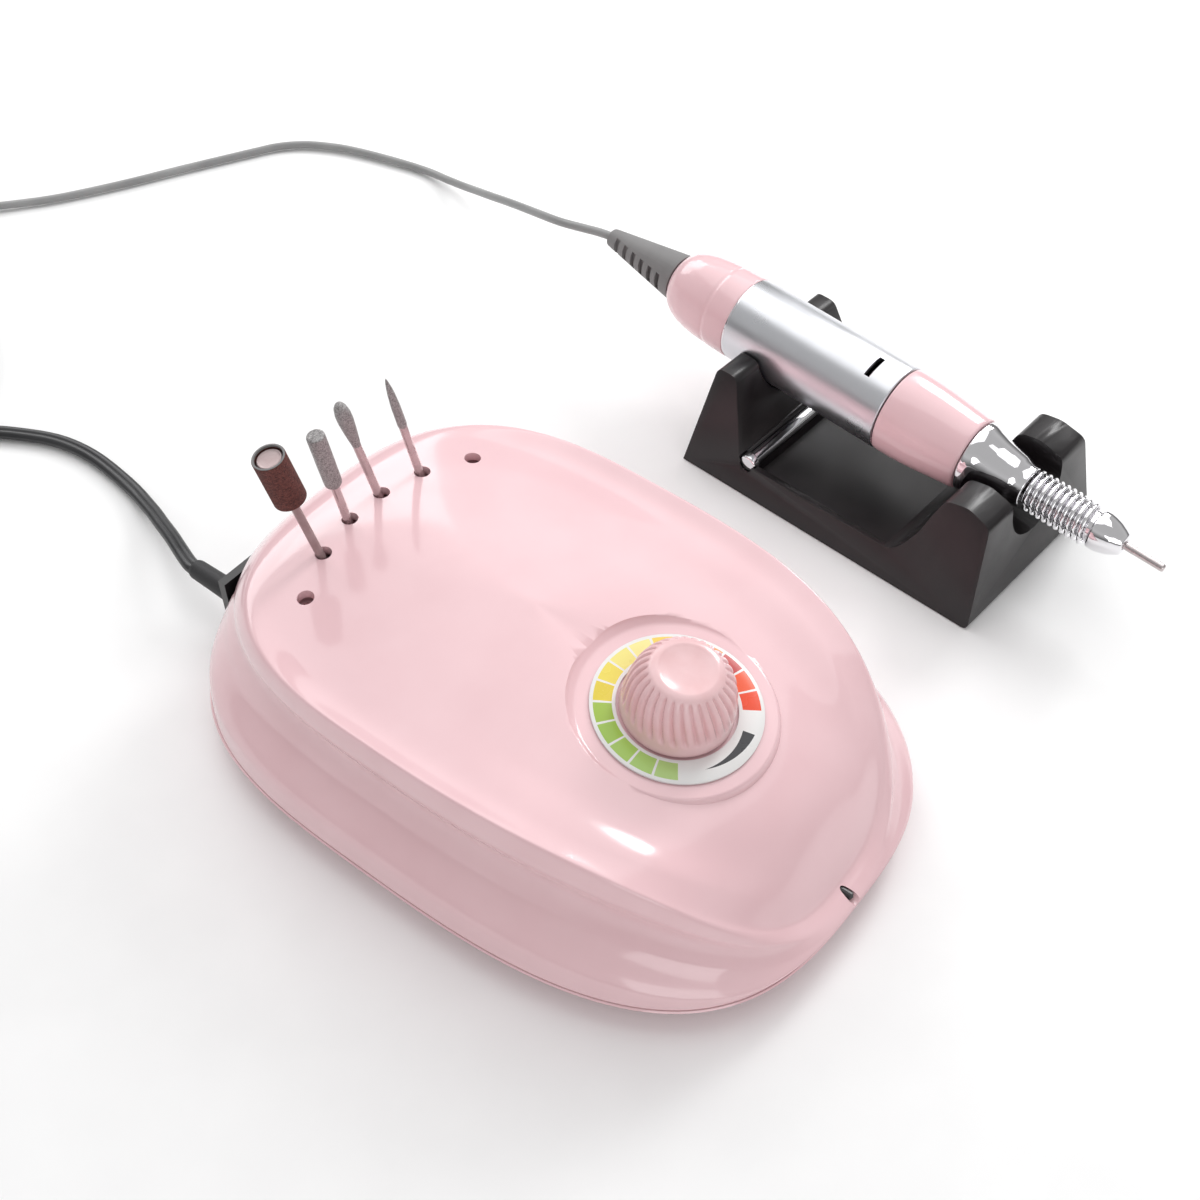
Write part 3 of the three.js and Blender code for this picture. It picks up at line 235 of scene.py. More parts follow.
# %% Lines for the cords
MAINS_ROUTE = [
    (-24.5, 148, 12.8), (-24.5, 153.6, 12.7), (-23.4, 157.5, 12), (-20.8, 164, 10.5),
    (-17.8, 171.3, 8.6), (-15.1, 178.6, 6.6), (-12.6, 185.1, 4.9), (-10.5, 191.6, 3.5),
    (-8.8, 197.2, 2.5), (-7.6, 202.6, 2), (-6.4, 211, 1.8), (-5.7, 219.5, 1.8), (-5.9, 227, 1.8),
    (-7.1, 234.4, 1.8), (-9.2, 240.8, 1.8), (-12.4, 247.4, 1.8), (-16.5, 254.2, 2),
    (-21.4, 260.5, 1.9), (-26.4, 266.8, 2.2), (-31, 272.5, 2.7), (-36, 278.5, 3.3),
]
LEAD_ROUTE = [
    (147, 131, 37.5), (147, 134.2, 37.5), (146.4, 138.6, 37.5), (145.5, 144, 37.1),
    (145.8, 154.2, 34.9), (150, 167.9, 30), (156.5, 184, 23), (163.2, 200, 15.5),
    (167.3, 210.4, 10.9), (171, 221.2, 6.6), (173.8, 231.4, 3.4), (174.9, 243.7, 1.7),
    (172.1, 259, 1.6), (167.6, 275.5, 1.6), (163, 285.9, 1.6), (158.3, 293, 1.6), (151.9, 299, 1.6),
    (144.4, 303.3, 1.6), (134.1, 308.9, 1.6), (118.7, 317.1, 1.6), (98.3, 327.6, 1.6),
    (79.2, 338.9, 1.6), (67, 348, 1.7), (57.6, 355.8, 2), (50.9, 361.9, 2.5),
]
MAINS_COIL = {"centre": (-20.4, 310), "outer": 32.1, "inner": 22.9, "low": 4.1, "high": 8.9,
              "start": 218.5, "turn": -(38.5 + 6 * 360)}
LEAD_COIL = {"centre": (29, 354.5), "outer": 20.1, "inner": 9.4, "low": 3.1, "high": 5.95,
             "start": 48.6, "turn": 41.4 + 8 * 360}
MAINS_END = [(-52.5, 317, 8.7), (-52.5, 325, 8.3), (-52.5, 333, 8.1)]
LEAD_END = [(24, 374.7, 5.6), (19.5, 374.6, 5), (13.5, 374.6, 4.8)]
MAINS_SPACING, LEAD_SPACING = 1.6, 1.1  # between the points of each finished line


def through(points, steps=8):
    """A smooth line through points: on each stretch, the Catmull-Rom cubic of its four neighbours."""
    p = np.vstack([2 * points[0] - points[1], points, 2 * points[-1] - points[-2]])
    a, b, c, d = (p[k:len(p) - 3 + k, None] for k in range(4))
    t = np.linspace(0, 1, steps, endpoint=False)[None, :, None]
    line = 2 * b + (c - a) * t + (2 * a - 5 * b + 4 * c - d) * t**2 + (3 * b - a - 3 * c + d) * t**3
    return np.vstack([line.reshape(-1, 3) / 2, points[-1:]])


def evenly(line, spacing):
    """The same line, with its points a fixed distance apart along it."""
    along = np.concatenate([[0], np.cumsum(np.linalg.norm(np.diff(line, axis=0), axis=1))])
    places = np.linspace(0, along[-1], int(along[-1] / spacing) + 1)
    return np.stack([np.interp(places, along, line[:, k]) for k in range(3)], axis=-1)


def coil_line(coil, points_a_turn=16):
    """Points of a two-layer coil: the radius falls evenly from outer to inner, holds for half a
    turn while the height climbs as a smooth step, and grows evenly to outer again."""
    turn = math.radians(coil["turn"])
    share = np.linspace(0, 1, int(abs(turn) / (2 * np.pi) * points_a_turn) + 1)
    climb = np.pi / abs(turn)
    inwards = np.interp(share, [0, 0.5 - climb / 2, 0.5 + climb / 2, 1], [0, 1, 1, 0])
    rise = np.clip((share - 0.5) / climb + 0.5, 0, 1)
    angle = math.radians(coil["start"]) + turn * share
    radius = coil["outer"] + (coil["inner"] - coil["outer"]) * inwards
    height = coil["low"] + (coil["high"] - coil["low"]) * rise**2 * (3 - 2 * rise)
    x, y = coil["centre"]
    return np.stack([x + radius * np.cos(angle), y + radius * np.sin(angle), height], axis=-1)


def cord_line(route, coil, end, spacing):
    """The whole centre line in metres: the open route, the coil, then the straight run to its end."""
    points = np.vstack([np.array(route, float), coil_line(coil), np.array(end, float)])
    return placed(evenly(through(points), spacing), unit_frame)


mains_line = cord_line(MAINS_ROUTE, MAINS_COIL, MAINS_END, MAINS_SPACING)
lead_line = cord_line(LEAD_ROUTE, LEAD_COIL, LEAD_END, LEAD_SPACING)
print("mains points", len(mains_line), "handpiece cord points", len(lead_line))

# %% [markdown]
# ## Cord bodies
# The mains cord is a flat twin: its section is two circles side by side. On the table it lies flat,
# and in the coil it stands on its edge, because a flat cord bends that way. The handpiece's cord is
# plain and round. Each is swept along its line and closed at both ends.

# %% Sweep the cords


def sweep(line, section, roll=0.0):
    """Rings of points: each section point (across, over) is set off from the line across it and
    above it, after both directions turn about the line by the roll at that point."""
    tangent = np.gradient(line, axis=0)
    tangent /= np.linalg.norm(tangent, axis=1, keepdims=True)
    across = np.cross(tangent, (0, 0, 1))
    across /= np.linalg.norm(across, axis=1, keepdims=True)
    over = np.cross(across, tangent)
    turn = np.broadcast_to(roll, len(line))[:, None]
    side = across * np.cos(turn) + over * np.sin(turn)
    top = over * np.cos(turn) - across * np.sin(turn)
    rings = line[:, None] + section[None, :, :1] * side[:, None] + section[None, :, 1:] * top[:, None]
    first = np.repeat(line[:1, None], len(section), axis=1)
    last = np.repeat(line[-1:, None], len(section), axis=1)
    return np.concatenate([first, rings, last])


def circle(radius, sides):
    """A round section: radius times (cosine, sine) of evenly spaced angles."""
    angle = np.linspace(0, 2 * np.pi, sides, endpoint=False)
    return radius * np.stack([np.cos(angle), np.sin(angle)], axis=-1)


def twin_section(radius, apart, sides):
    """The outline of two circles side by side, each set off by apart: along each direction it is
    the far crossing with the nearer circle."""
    angle = np.linspace(0, 2 * np.pi, sides, endpoint=False)
    c, s = np.cos(angle), np.sin(angle)
    reach = apart * np.abs(c) + np.sqrt(radius**2 - (apart * s) ** 2)
    return reach[:, None] * np.stack([c, s], axis=-1)


def swept_piece(name, line, section, roll=0.0):
    """A closed tube along a line in metres, with the section carried along it."""
    rings = sweep(line, section, roll)
    return add_mesh(name, rings.reshape(-1, 3), grid_faces(len(rings), len(section)), 50)


FLAT_RUN, TURNING_RUN = 108, 40  # how far the mains cord lies flat, and turns onto its edge
along_mains = np.arange(len(mains_line)) * MAINS_SPACING
on_edge = np.clip((along_mains - FLAT_RUN) / TURNING_RUN, 0, 1)
mains_roll = np.pi / 2 * on_edge**2 * (3 - 2 * on_edge)
mains_cord = swept_piece("mains_cable", mains_line, twin_section(1.5, 0.9, 20) * MM, mains_roll)
lead_cord = swept_piece("handpiece_cable", lead_line, circle(1.4, 14) * MM)
mains_length = float(np.linalg.norm(np.diff(mains_line, axis=0), axis=1).sum())
lead_length = float(np.linalg.norm(np.diff(lead_line, axis=0), axis=1).sum())
print("mains", round(mains_length, 3), "m, handpiece cord", round(lead_length, 3), "m")

# %% [markdown]
# ## Shared surface effects
# Real mouldings and metals are never perfectly even. Four small node groups give what varies over
# a surface: a moulded skin, a gloss that hands have dulled, turned metal lines, and grit. Each
# material places them with its own values, and keeps its own shader.

# %% Node groups


def node_group(name, inputs, outputs):
    """A shader group with number inputs (name: value) and the outputs named; it returns the group,
    its nodes, its links, and its input and output ends."""
    group = bpy.data.node_groups.new(name, "ShaderNodeTree")
    for label, value in inputs.items():
        socket = group.interface.new_socket(label, in_out="INPUT", socket_type="NodeSocketFloat")
        socket.default_value = value
    for label in outputs:
        group.interface.new_socket(label, in_out="OUTPUT", socket_type="NodeSocketFloat")
    start = group.nodes.new("NodeGroupInput")
    end = group.nodes.new("NodeGroupOutput")
    return group, group.nodes, group.links, start, end


def noise_node(nodes, scale, detail=2.0):
    node = nodes.new("ShaderNodeTexNoise")
    node.inputs["Scale"].default_value = scale
    node.inputs["Detail"].default_value = detail
    return node


def math_node(nodes, operation, *values):
    node = nodes.new("ShaderNodeMath")
    node.operation = operation
    for index, value in enumerate(values):
        node.inputs[index].default_value = value
    return node


def moulded_skin():
    """Height = fine noise x Fine + slow noise x Wave: a faint grain on a slightly wavy moulding."""
    group, nodes, links, start, end = node_group(
        "moulded skin", {"Grain scale": 2500, "Fine": 0.15, "Wave scale": 60, "Wave": 1.0}, ["Height"])
    place = nodes.new("ShaderNodeTexCoord")
    fine, wave = noise_node(nodes, 2500), noise_node(nodes, 60, 1)
    times_fine, times_wave = math_node(nodes, "MULTIPLY"), math_node(nodes, "MULTIPLY")
    both = math_node(nodes, "ADD")
    for noise, scale in ((fine, "Grain scale"), (wave, "Wave scale")):
        links.new(place.outputs["Object"], noise.inputs["Vector"])
        links.new(start.outputs[scale], noise.inputs["Scale"])
    for noise, amount, product in ((fine, "Fine", times_fine), (wave, "Wave", times_wave)):
        links.new(noise.outputs["Fac"], product.inputs[0])
        links.new(start.outputs[amount], product.inputs[1])
        links.new(product.outputs[0], both.inputs[0 if noise is fine else 1])
    links.new(both.outputs[0], end.inputs["Height"])
    return group


def handled_gloss():
    """Roughness runs from Low to High with a slow noise, as where fingers and dust dull a gloss."""
    group, nodes, links, start, end = node_group(
        "handled gloss", {"Scale": 45, "Low": 0.12, "High": 0.25}, ["Roughness", "Mask"])
    place = nodes.new("ShaderNodeTexCoord")
    noise = noise_node(nodes, 45, 4)
    span, mask = nodes.new("ShaderNodeMapRange"), nodes.new("ShaderNodeMapRange")
    links.new(place.outputs["Object"], noise.inputs["Vector"])
    links.new(start.outputs["Scale"], noise.inputs["Scale"])
    for stretch in (span, mask):
        stretch.inputs["From Min"].default_value = 0.35
        stretch.inputs["From Max"].default_value = 0.7
        links.new(noise.outputs["Fac"], stretch.inputs["Value"])
    links.new(start.outputs["Low"], span.inputs["To Min"])
    links.new(start.outputs["High"], span.inputs["To Max"])
    links.new(span.outputs["Result"], end.inputs["Roughness"])
    links.new(mask.outputs["Result"], end.inputs["Mask"])
    return group


def turned_lines(axis):
    """Height = noise of the distance along the handpiece's axis: fine rings, as a lathe leaves."""
    group, nodes, links, start, end = node_group(
        "turned lines", {"Lines a metre": 4000, "Unevenness": 0.1}, ["Height"])
    place = nodes.new("ShaderNodeTexCoord")
    along = nodes.new("ShaderNodeVectorMath")
    along.operation = "DOT_PRODUCT"
    along.inputs[1].default_value = axis
    stretch = math_node(nodes, "MULTIPLY")
    rings = nodes.new("ShaderNodeTexNoise")
    rings.noise_dimensions = "1D"
    rings.inputs["Scale"].default_value = 1
    rings.inputs["Detail"].default_value = 4
    patch = noise_node(nodes, 300)
    product, both = math_node(nodes, "MULTIPLY"), math_node(nodes, "ADD")
    links.new(place.outputs["Object"], along.inputs[0])
    links.new(place.outputs["Object"], patch.inputs["Vector"])
    links.new(along.outputs["Value"], stretch.inputs[0])
    links.new(start.outputs["Lines a metre"], stretch.inputs[1])
    links.new(stretch.outputs[0], rings.inputs["W"])
    links.new(patch.outputs["Fac"], product.inputs[0])
    links.new(start.outputs["Unevenness"], product.inputs[1])
    links.new(rings.outputs["Fac"], both.inputs[0])
    links.new(product.outputs[0], both.inputs[1])
    links.new(both.outputs[0], end.inputs["Height"])
    return group


def grit_grains():
    """Height = 1 - distance to the nearest grain; Mask = a random value for each grain."""
    group, nodes, links, start, end = node_group("grit", {"Grains a metre": 3500}, ["Height", "Mask"])
    place = nodes.new("ShaderNodeTexCoord")
    cells = nodes.new("ShaderNodeTexVoronoi")
    flip = math_node(nodes, "SUBTRACT", 1.0)
    split = nodes.new("ShaderNodeSeparateColor")
    links.new(place.outputs["Object"], cells.inputs["Vector"])
    links.new(start.outputs["Grains a metre"], cells.inputs["Scale"])
    links.new(cells.outputs["Distance"], flip.inputs[1])
    links.new(cells.outputs["Color"], split.inputs["Color"])
    links.new(flip.outputs[0], end.inputs["Height"])
    links.new(split.outputs["Red"], end.inputs["Mask"])
    return group


SKIN = moulded_skin()
GLOSS = handled_gloss()
LINES = turned_lines(tuple(hand_axis))
GRIT = grit_grains()
print("node groups:", [group.name for group in bpy.data.node_groups])

# %% [markdown]
# ## Finishes
# One function makes every finish, because they differ only in numbers: two close tones that drift
# into each other, a roughness that varies, and a small relief. Gloss pink plastic, satin black
# plastic, soft rubber and bare metals all come from it, and grit swaps in its own relief.

# %% Finish maker


def place_group(material, group, **values):
    node = material.node_tree.nodes.new("ShaderNodeGroup")
    node.node_tree = group
    for label, value in values.items():
        node.inputs[label.replace("_", " ")].default_value = value
    return node


def finish(name, tone, second, rough, metal=0.0, relief="skin", bump=0.1, depth=0.00005,
           drift=45, grain=2500, fine=0.15, wave=1.0, coat=0.0, **shader):
    """A Principled material. Base Color drifts between two tones and Roughness between two values
    with the same slow noise, and a bump of the chosen relief bends the normals."""
    material = bpy.data.materials.new(name)
    material.use_nodes = True
    nodes, links = material.node_tree.nodes, material.node_tree.links
    surface = nodes["Principled BSDF"]
    surface.inputs["Metallic"].default_value = metal
    surface.inputs["Coat Weight"].default_value = coat
    surface.inputs["Coat Roughness"].default_value = 0.06
    for label, value in shader.items():
        surface.inputs[label.replace("_", " ")].default_value = value
    gloss = place_group(material, GLOSS, Scale=drift, Low=rough[0], High=rough[1])
    mix = nodes.new("ShaderNodeMix")
    mix.data_type = "RGBA"
    mix.inputs["A"].default_value = (*tone, 1)
    mix.inputs["B"].default_value = (*second, 1)
    links.new(gloss.outputs["Roughness"], surface.inputs["Roughness"])
    links.new(mix.outputs["Result"], surface.inputs["Base Color"])
    if relief == "grit":
        height = place_group(material, GRIT, Grains_a_metre=grain)
        links.new(height.outputs["Mask"], mix.inputs["Factor"])
    else:
        links.new(gloss.outputs["Mask"], mix.inputs["Factor"])
        if relief == "lines":
            height = place_group(material, LINES, Lines_a_metre=grain)
        else:
            height = place_group(material, SKIN, Grain_scale=grain, Fine=fine, Wave=wave)
    dent = nodes.new("ShaderNodeBump")
    dent.inputs["Strength"].default_value = bump
    dent.inputs["Distance"].default_value = depth
    links.new(height.outputs["Height"], dent.inputs["Height"])
    links.new(dent.outputs["Normal"], surface.inputs["Normal"])
    return material


pink_gloss = finish("glossy pink plastic", (0.86, 0.585, 0.615), (0.83, 0.55, 0.58), (0.09, 0.17),
                    bump=0.25, depth=0.0001, coat=0.4)
pink_knob = finish("glossy pink knob", (0.86, 0.585, 0.6), (0.8, 0.5, 0.51), (0.14, 0.26),
                   drift=110, bump=0.3)
black_satin = finish("satin black cradle", (0.008, 0.006, 0.007), (0.016, 0.013, 0.014),
                     (0.3, 0.45), bump=0.6, grain=3500, fine=0.6)
black_plastic = finish("black plastic", (0.02, 0.02, 0.021), (0.035, 0.033, 0.034), (0.3, 0.45),
                       bump=0.6, fine=0.5)
red_plastic = finish("red plastic", (0.42, 0.02, 0.02), (0.5, 0.035, 0.03), (0.2, 0.35), bump=0.3)
black_rubber = finish("black rubber", (0.02, 0.02, 0.022), (0.045, 0.044, 0.046), (0.5, 0.7),
                      bump=0.9, grain=2200, fine=1.0)
grey_rubber = finish("grey rubber", (0.17, 0.165, 0.165), (0.24, 0.235, 0.235), (0.5, 0.7),
                     bump=0.8, grain=2200, fine=0.8)
black_cord = finish("black cord sheath", (0.018, 0.018, 0.02), (0.04, 0.04, 0.042), (0.28, 0.45),
                    bump=0.6, grain=1800, fine=0.6)
grey_cord = finish("grey cord sheath", (0.25, 0.25, 0.25), (0.32, 0.32, 0.32), (0.35, 0.5),
                   bump=0.5, grain=1800, fine=0.6)
satin_aluminium = finish("satin aluminium", (0.72, 0.73, 0.76), (0.66, 0.67, 0.7), (0.26, 0.36),
                         metal=1.0, relief="lines", bump=0.1, depth=0.00002)
chrome = finish("polished chrome", (0.86, 0.85, 0.87), (0.8, 0.79, 0.81), (0.03, 0.08), metal=1.0,
                bump=0.006, depth=0.00002)
steel = finish("bright steel", (0.62, 0.56, 0.56), (0.52, 0.47, 0.47), (0.18, 0.34), metal=1.0,
               drift=160, bump=0.4, grain=3000, fine=0.8)
sanding_grit = finish("red-brown sanding grit", (0.06, 0.016, 0.013), (0.17, 0.05, 0.04), (0.75, 0.95),
                      relief="grit", grain=2600, bump=0.9, depth=0.00025)
mandrel_rubber = finish("rose grey mandrel", (0.33, 0.25, 0.25), (0.42, 0.34, 0.34), (0.3, 0.45), metal=0.5,
                        drift=200, bump=0.5, grain=3000, fine=0.6)
diamond_grit = finish("grey diamond grit", (0.2, 0.19, 0.19), (0.52, 0.5, 0.5), (0.35, 0.6), metal=0.6,
                      relief="grit", grain=4200, bump=0.8, depth=0.00018)
iron = finish("laminated iron", (0.2, 0.2, 0.21), (0.3, 0.29, 0.29), (0.35, 0.55), metal=1.0, bump=0.5)
copper = finish("enamelled copper", (0.48, 0.18, 0.08), (0.6, 0.26, 0.12), (0.25, 0.4), metal=1.0,
                bump=0.6, grain=1500, fine=1.0)
board_green = finish("circuit board green", (0.01, 0.1, 0.04), (0.02, 0.16, 0.07), (0.25, 0.4), bump=0.4)
print("finishes:", len(bpy.data.materials))

# %% [markdown]
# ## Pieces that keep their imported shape
# What lies inside the case, and small hardware underneath, already has the right shape. Those
# solids stay, and only take a finish.

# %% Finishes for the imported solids
KEPT = {
    "transformer_core": iron, "transformer_winding": copper, "circuit_board": board_green,
    "heat_sink": satin_aluminium, "potentiometer": satin_aluminium, "potentiometer_nut": steel,
    "potentiometer_shaft": steel, "bit_rack": pink_gloss, "motor": iron, "rear_bearing": steel,
    "front_bearing": steel, "spindle": steel, "chuck_sleeve": steel, "rear_panel": black_plastic,
    "power_switch": black_plastic, "direction_switch": black_plastic, "fuse_holder": black_plastic,
    "power_rocker": red_plastic, "direction_rocker": black_plastic, "fuse_cap": black_plastic,
    "handpiece_socket": steel, "indicator_lamp": black_plastic, "mains_tie": black_rubber,
    "handpiece_tie": black_rubber, "handpiece_connector": steel,
}
KEPT.update({f"case_screw_{k}": steel for k in range(1, 5)})
KEPT.update({f"rubber_foot_{k}": black_rubber for k in range(1, 5)})
for node_name, material in KEPT.items():
    solid = frame["nodes"][node_name]
    solid.data.materials.clear()
    solid.data.materials.append(material)
print("finished", len(KEPT), "packed solids")

# %% [markdown]
# ## The case: smooth heights and outlines
# The cover is one glossy moulding. From the side it bulges out low down, draws in to a soft
# channel, comes out again at a crest, and closes over in a dome. Its outline is a rounded
# rectangle at every height. So the surface is a stack of superellipses whose sizes, powers and
# heights change smoothly from level to level.

# %% Levels of the cover
CASE_HALF, CASE_REAR, CASE_FRONT, CASE_MIDDLE = 67.5, 133.0, 56.0, 50.0
# One row a level: in at the side, rear and front; the middle's move; the rear and front powers;
# the heights at the rear, side and front; and how late the height falls towards the front.
LEVELS = np.array([
    [0, 0, 0, 0, 3, 3, 9, 9, 9, 2],
    [1, 0, -0.5, 0, 3, 3, 16, 16, 9.7, 3.4],
    [9, 2, 0, 0, 2.9, 2.8, 28, 25, 10.3, 4.2],
    [12, 4.5, 1, 0, 2.8, 2.7, 35, 32, 10.9, 4.8],
    [9.5, 9, 2.5, 2, 2.8, 2.7, 41, 40, 11.5, 5.2],
    [11, 14, 5, 4, 2.7, 2.7, 46, 46.5, 12.3, 5.2],
    [17, 20, 9, 4, 2.6, 2.5, 48.3, 45.3, 20, 5],
    [27.5, 29, 20, 4, 2.4, 2.2, 49.4, 46.5, 33, 2.5],
    [47.5, 49, 44, -5, 2.1, 2, 50.4, 48.8, 40.5, 2],
    [67.4, 87.9, 100.9, -5, 2, 2, 51, 51, 51, 2],
], float)


def eased(table, places):
    """Rows of a table at places between them. Each column is a cubic from row to row whose slope
    at a row is the harmonic mean of the steps beside it, or zero where they turn back."""
    step = np.diff(table, axis=0)
    product = step[:-1] * step[1:]
    total = step[:-1] + step[1:]
    inner = np.where(product > 0, 2 * product / np.where(total == 0, 1, total), 0)
    slope = np.vstack([step[:1], inner, step[-1:]])
    low = np.clip(places.astype(int), 0, len(table) - 2)
    t = (places - low)[:, None]
    a, b, da, db = table[low], table[low + 1], slope[low], slope[low + 1]
    return (a * (1 + 2 * t) * (1 - t) ** 2 + b * t**2 * (3 - 2 * t)
            + da * t * (1 - t) ** 2 - db * t**2 * (1 - t))


def outlines(levels, sides, inset=0.0, drop=0.0):
    """Rings of the cover. Along an angle, a superellipse's reach is (|cos|^p + |sin|^p)^(-1/p);
    the height goes from the side's to the end's with a power of the reach towards that end."""
    angle = np.linspace(0, 2 * np.pi, sides, endpoint=False)[None]
    c, s = np.cos(angle), np.sin(angle)
    side_in, rear_in, front_in, move, rear_p, front_p, rear_z, side_z, front_z, late = (
        column[:, None] for column in levels.T)
    rear = s > 0
    power = np.where(rear, rear_p, front_p)
    reach = (np.abs(c) ** power + np.abs(s) ** power) ** (-1 / power)
    middle = CASE_MIDDLE + move
    half = np.maximum(CASE_HALF - side_in - inset, 0)
    end = np.where(rear, CASE_REAR - rear_in - inset - middle, middle + CASE_FRONT - front_in - inset)
    share = np.abs(s * reach) ** np.where(rear, 2, late)
    height = side_z + (np.where(rear, rear_z, front_z) - side_z) * share - drop
    return np.stack([half * c * reach, middle + np.maximum(end, 0) * s * reach, height], axis=-1)


SIDES = 224
fine_levels = eased(LEVELS, np.linspace(0, 9, 91))
outer_rings = outlines(fine_levels, SIDES)
inner_rings = outlines(eased(LEVELS, np.linspace(0, 8.9, 40)), SIDES, inset=2.5, drop=2.5)
outer_rings[-1] = outer_rings[-1].mean(axis=0)
inner_rings[-1] = inner_rings[-1].mean(axis=0)
inner_rings[0, :, 2] = 9
cover_rows = np.concatenate([inner_rings[::-1], outer_rings])
print("cover rings", cover_rows.shape)

# %% [markdown]
# ## The case: openings
# The cover has a raised round seat for the dial, six holes for bits and an opening for the rear
# panel. Those are cut and joined with Boolean modifiers, which are applied, so that the finished
# piece is plain mesh.

# %% Cutters and Booleans


def block_mesh(name, low, high, matrix=unit_frame):
    """A cutter with flat sides, from its lowest to its highest corner."""
    x, y, z = (np.array([low[k], high[k]], float) for k in range(3))
    corners = np.stack(np.meshgrid(x, y, z, indexing="ij"), axis=-1)
    faces = [(0, 1, 3, 2), (4, 6, 7, 5), (0, 4, 5, 1), (2, 3, 7, 6), (0, 2, 6, 4), (1, 5, 7, 3)]
    return add_mesh(name, placed(corners, matrix), faces)


def combine(piece, operation, *tools):
    """Applies one Boolean with each tool in turn, and removes the tools."""
    for tool in tools:
        modifier = piece.modifiers.new("cut", "BOOLEAN")
        modifier.operation = operation
        modifier.solver = "EXACT"
        modifier.object = tool
        bpy.context.view_layer.update()
        result = bpy.data.meshes.new_from_object(
            piece.evaluated_get(bpy.context.evaluated_depsgraph_get()))
        piece.modifiers.clear()
        piece.data = result
        bpy.data.objects.remove(tool)


def at(x, y, z=0.0, base=unit_frame):
    """A frame moved by an offset along its own axes."""
    moved = base.copy()
    moved[:3, 3] = base[:3, :3] @ np.array([x, y, z]) + base[:3, 3]
    return moved


hole_angles = np.radians([-33.1, -18.8, -5.9, 5.9, 18.8, 33.1])
hole_spots = np.stack([59.8 * np.sin(hole_angles), 43.9 + 59.8 * np.cos(hole_angles)], axis=-1)

top_cover = add_mesh("cover", placed(cover_rows, unit_frame), grid_faces(len(cover_rows), SIDES))
clearing = turned_piece("clearing", [(0, 0), (25.5, 0), (27.6, 1.2), (29, 4), (29.6, 14), (0, 14)],
                        dial_frame, radius=0.8)
seat = turned_piece("seat", [(0, -6), (27.4, -6), (26.3, -1.4), (25.5, 0), (0, 0)], dial_frame,
                    radius=0.5)
shaft_hole = turned_piece("shaft hole", [(0, -9), (4.95, -9), (4.95, 2), (0, 2)], dial_frame,
                          sides=48, radius=0)
combine(top_cover, "DIFFERENCE", clearing)
combine(top_cover, "UNION", seat)
combine(top_cover, "DIFFERENCE", shaft_hole)
bit_holes = [
    turned_piece(f"hole {k}", [(0, 43.3), (2.3, 43.3), (2.3, 60), (0, 60)], at(x, y), sides=40,
                 radius=0)
    for k, (x, y) in enumerate(hole_spots)
]
combine(top_cover, "DIFFERENCE", *bit_holes)
combine(top_cover, "DIFFERENCE", block_mesh("rear opening", (-34.3, 110, 0), (34.3, 140, 31.9)))
lamp_frame = axes_frame(at(0, -58)[:3, 3] + (0, 0, 10.75), (0, 1, 0), (0, 0, 1))
combine(top_cover, "DIFFERENCE",
        turned_piece("lamp hole", [(0, 0), (1.45, 0), (1.45, 12), (0, 12)], lamp_frame, sides=24, radius=0))
finish_mesh(top_cover.data, 50)
settle(top_cover, pink_gloss, "unit", "pink_gloss", "top_cover")

# %% [markdown]
# ## Base tray
# The tray is a shallow dish under the cover, drawn with the cover's own lowest outline. Its rim
# stands about half a millimetre proud, which leaves a thin ledge under the parting line.

# %% Base tray
tray_profile = np.array([(6, 2), (3.2, 2.5), (1.6, 4), (0, 6.2), (-0.9, 8.3), (-0.6, 8.7), (2.5, 8.7),
                         (3, 6.6), (4, 5.4), (8.5, 4.5)])
tray_insets, tray_heights = tray_profile.T
tray_rows = np.concatenate([
    outlines(LEVELS[:1], SIDES, inset=0.4 + inset, drop=9 - height)
    for inset, height in zip(tray_insets, tray_heights)
])
tray_rows = np.concatenate([tray_rows[:1], tray_rows, tray_rows[-1:]])
tray_rows[0] = tray_rows[0].mean(axis=0)
tray_rows[-1] = tray_rows[-1].mean(axis=0)
base_tray = add_mesh("tray", placed(tray_rows, unit_frame), grid_faces(len(tray_rows), SIDES), 40)
settle(base_tray, pink_gloss, "unit", "pink_gloss", "base_tray")

# %% [markdown]
# ## Speed knob
# The knob is a turned cap with thirty slanted finger grooves between a plain skirt and a smooth
# dished top. A profile gives the radius at each height, and a wave round it takes the grooves out.
# The wave's angle grows with height, which slants them, and it fades out at both ends.

# %% Knob
KNOB_PROFILE = np.array([
    (11.2, 0.5), (14, 0.5), (14.5, 1), (14.4, 3), (14.1, 6), (13.6, 9), (12.9, 11.6), (11.9, 13.8),
    (10.6, 15.6), (9.2, 16.9), (8, 17.4), (7.3, 17.5), (6.5, 17.3), (4, 16.9), (0, 16.7),
])


def smooth_step(value, low, high):
    """0 below low and 1 above high, with a soft S between: 3t^2 - 2t^3."""
    t = np.clip((value - low) / (high - low), 0, 1)
    return t * t * (3 - 2 * t)


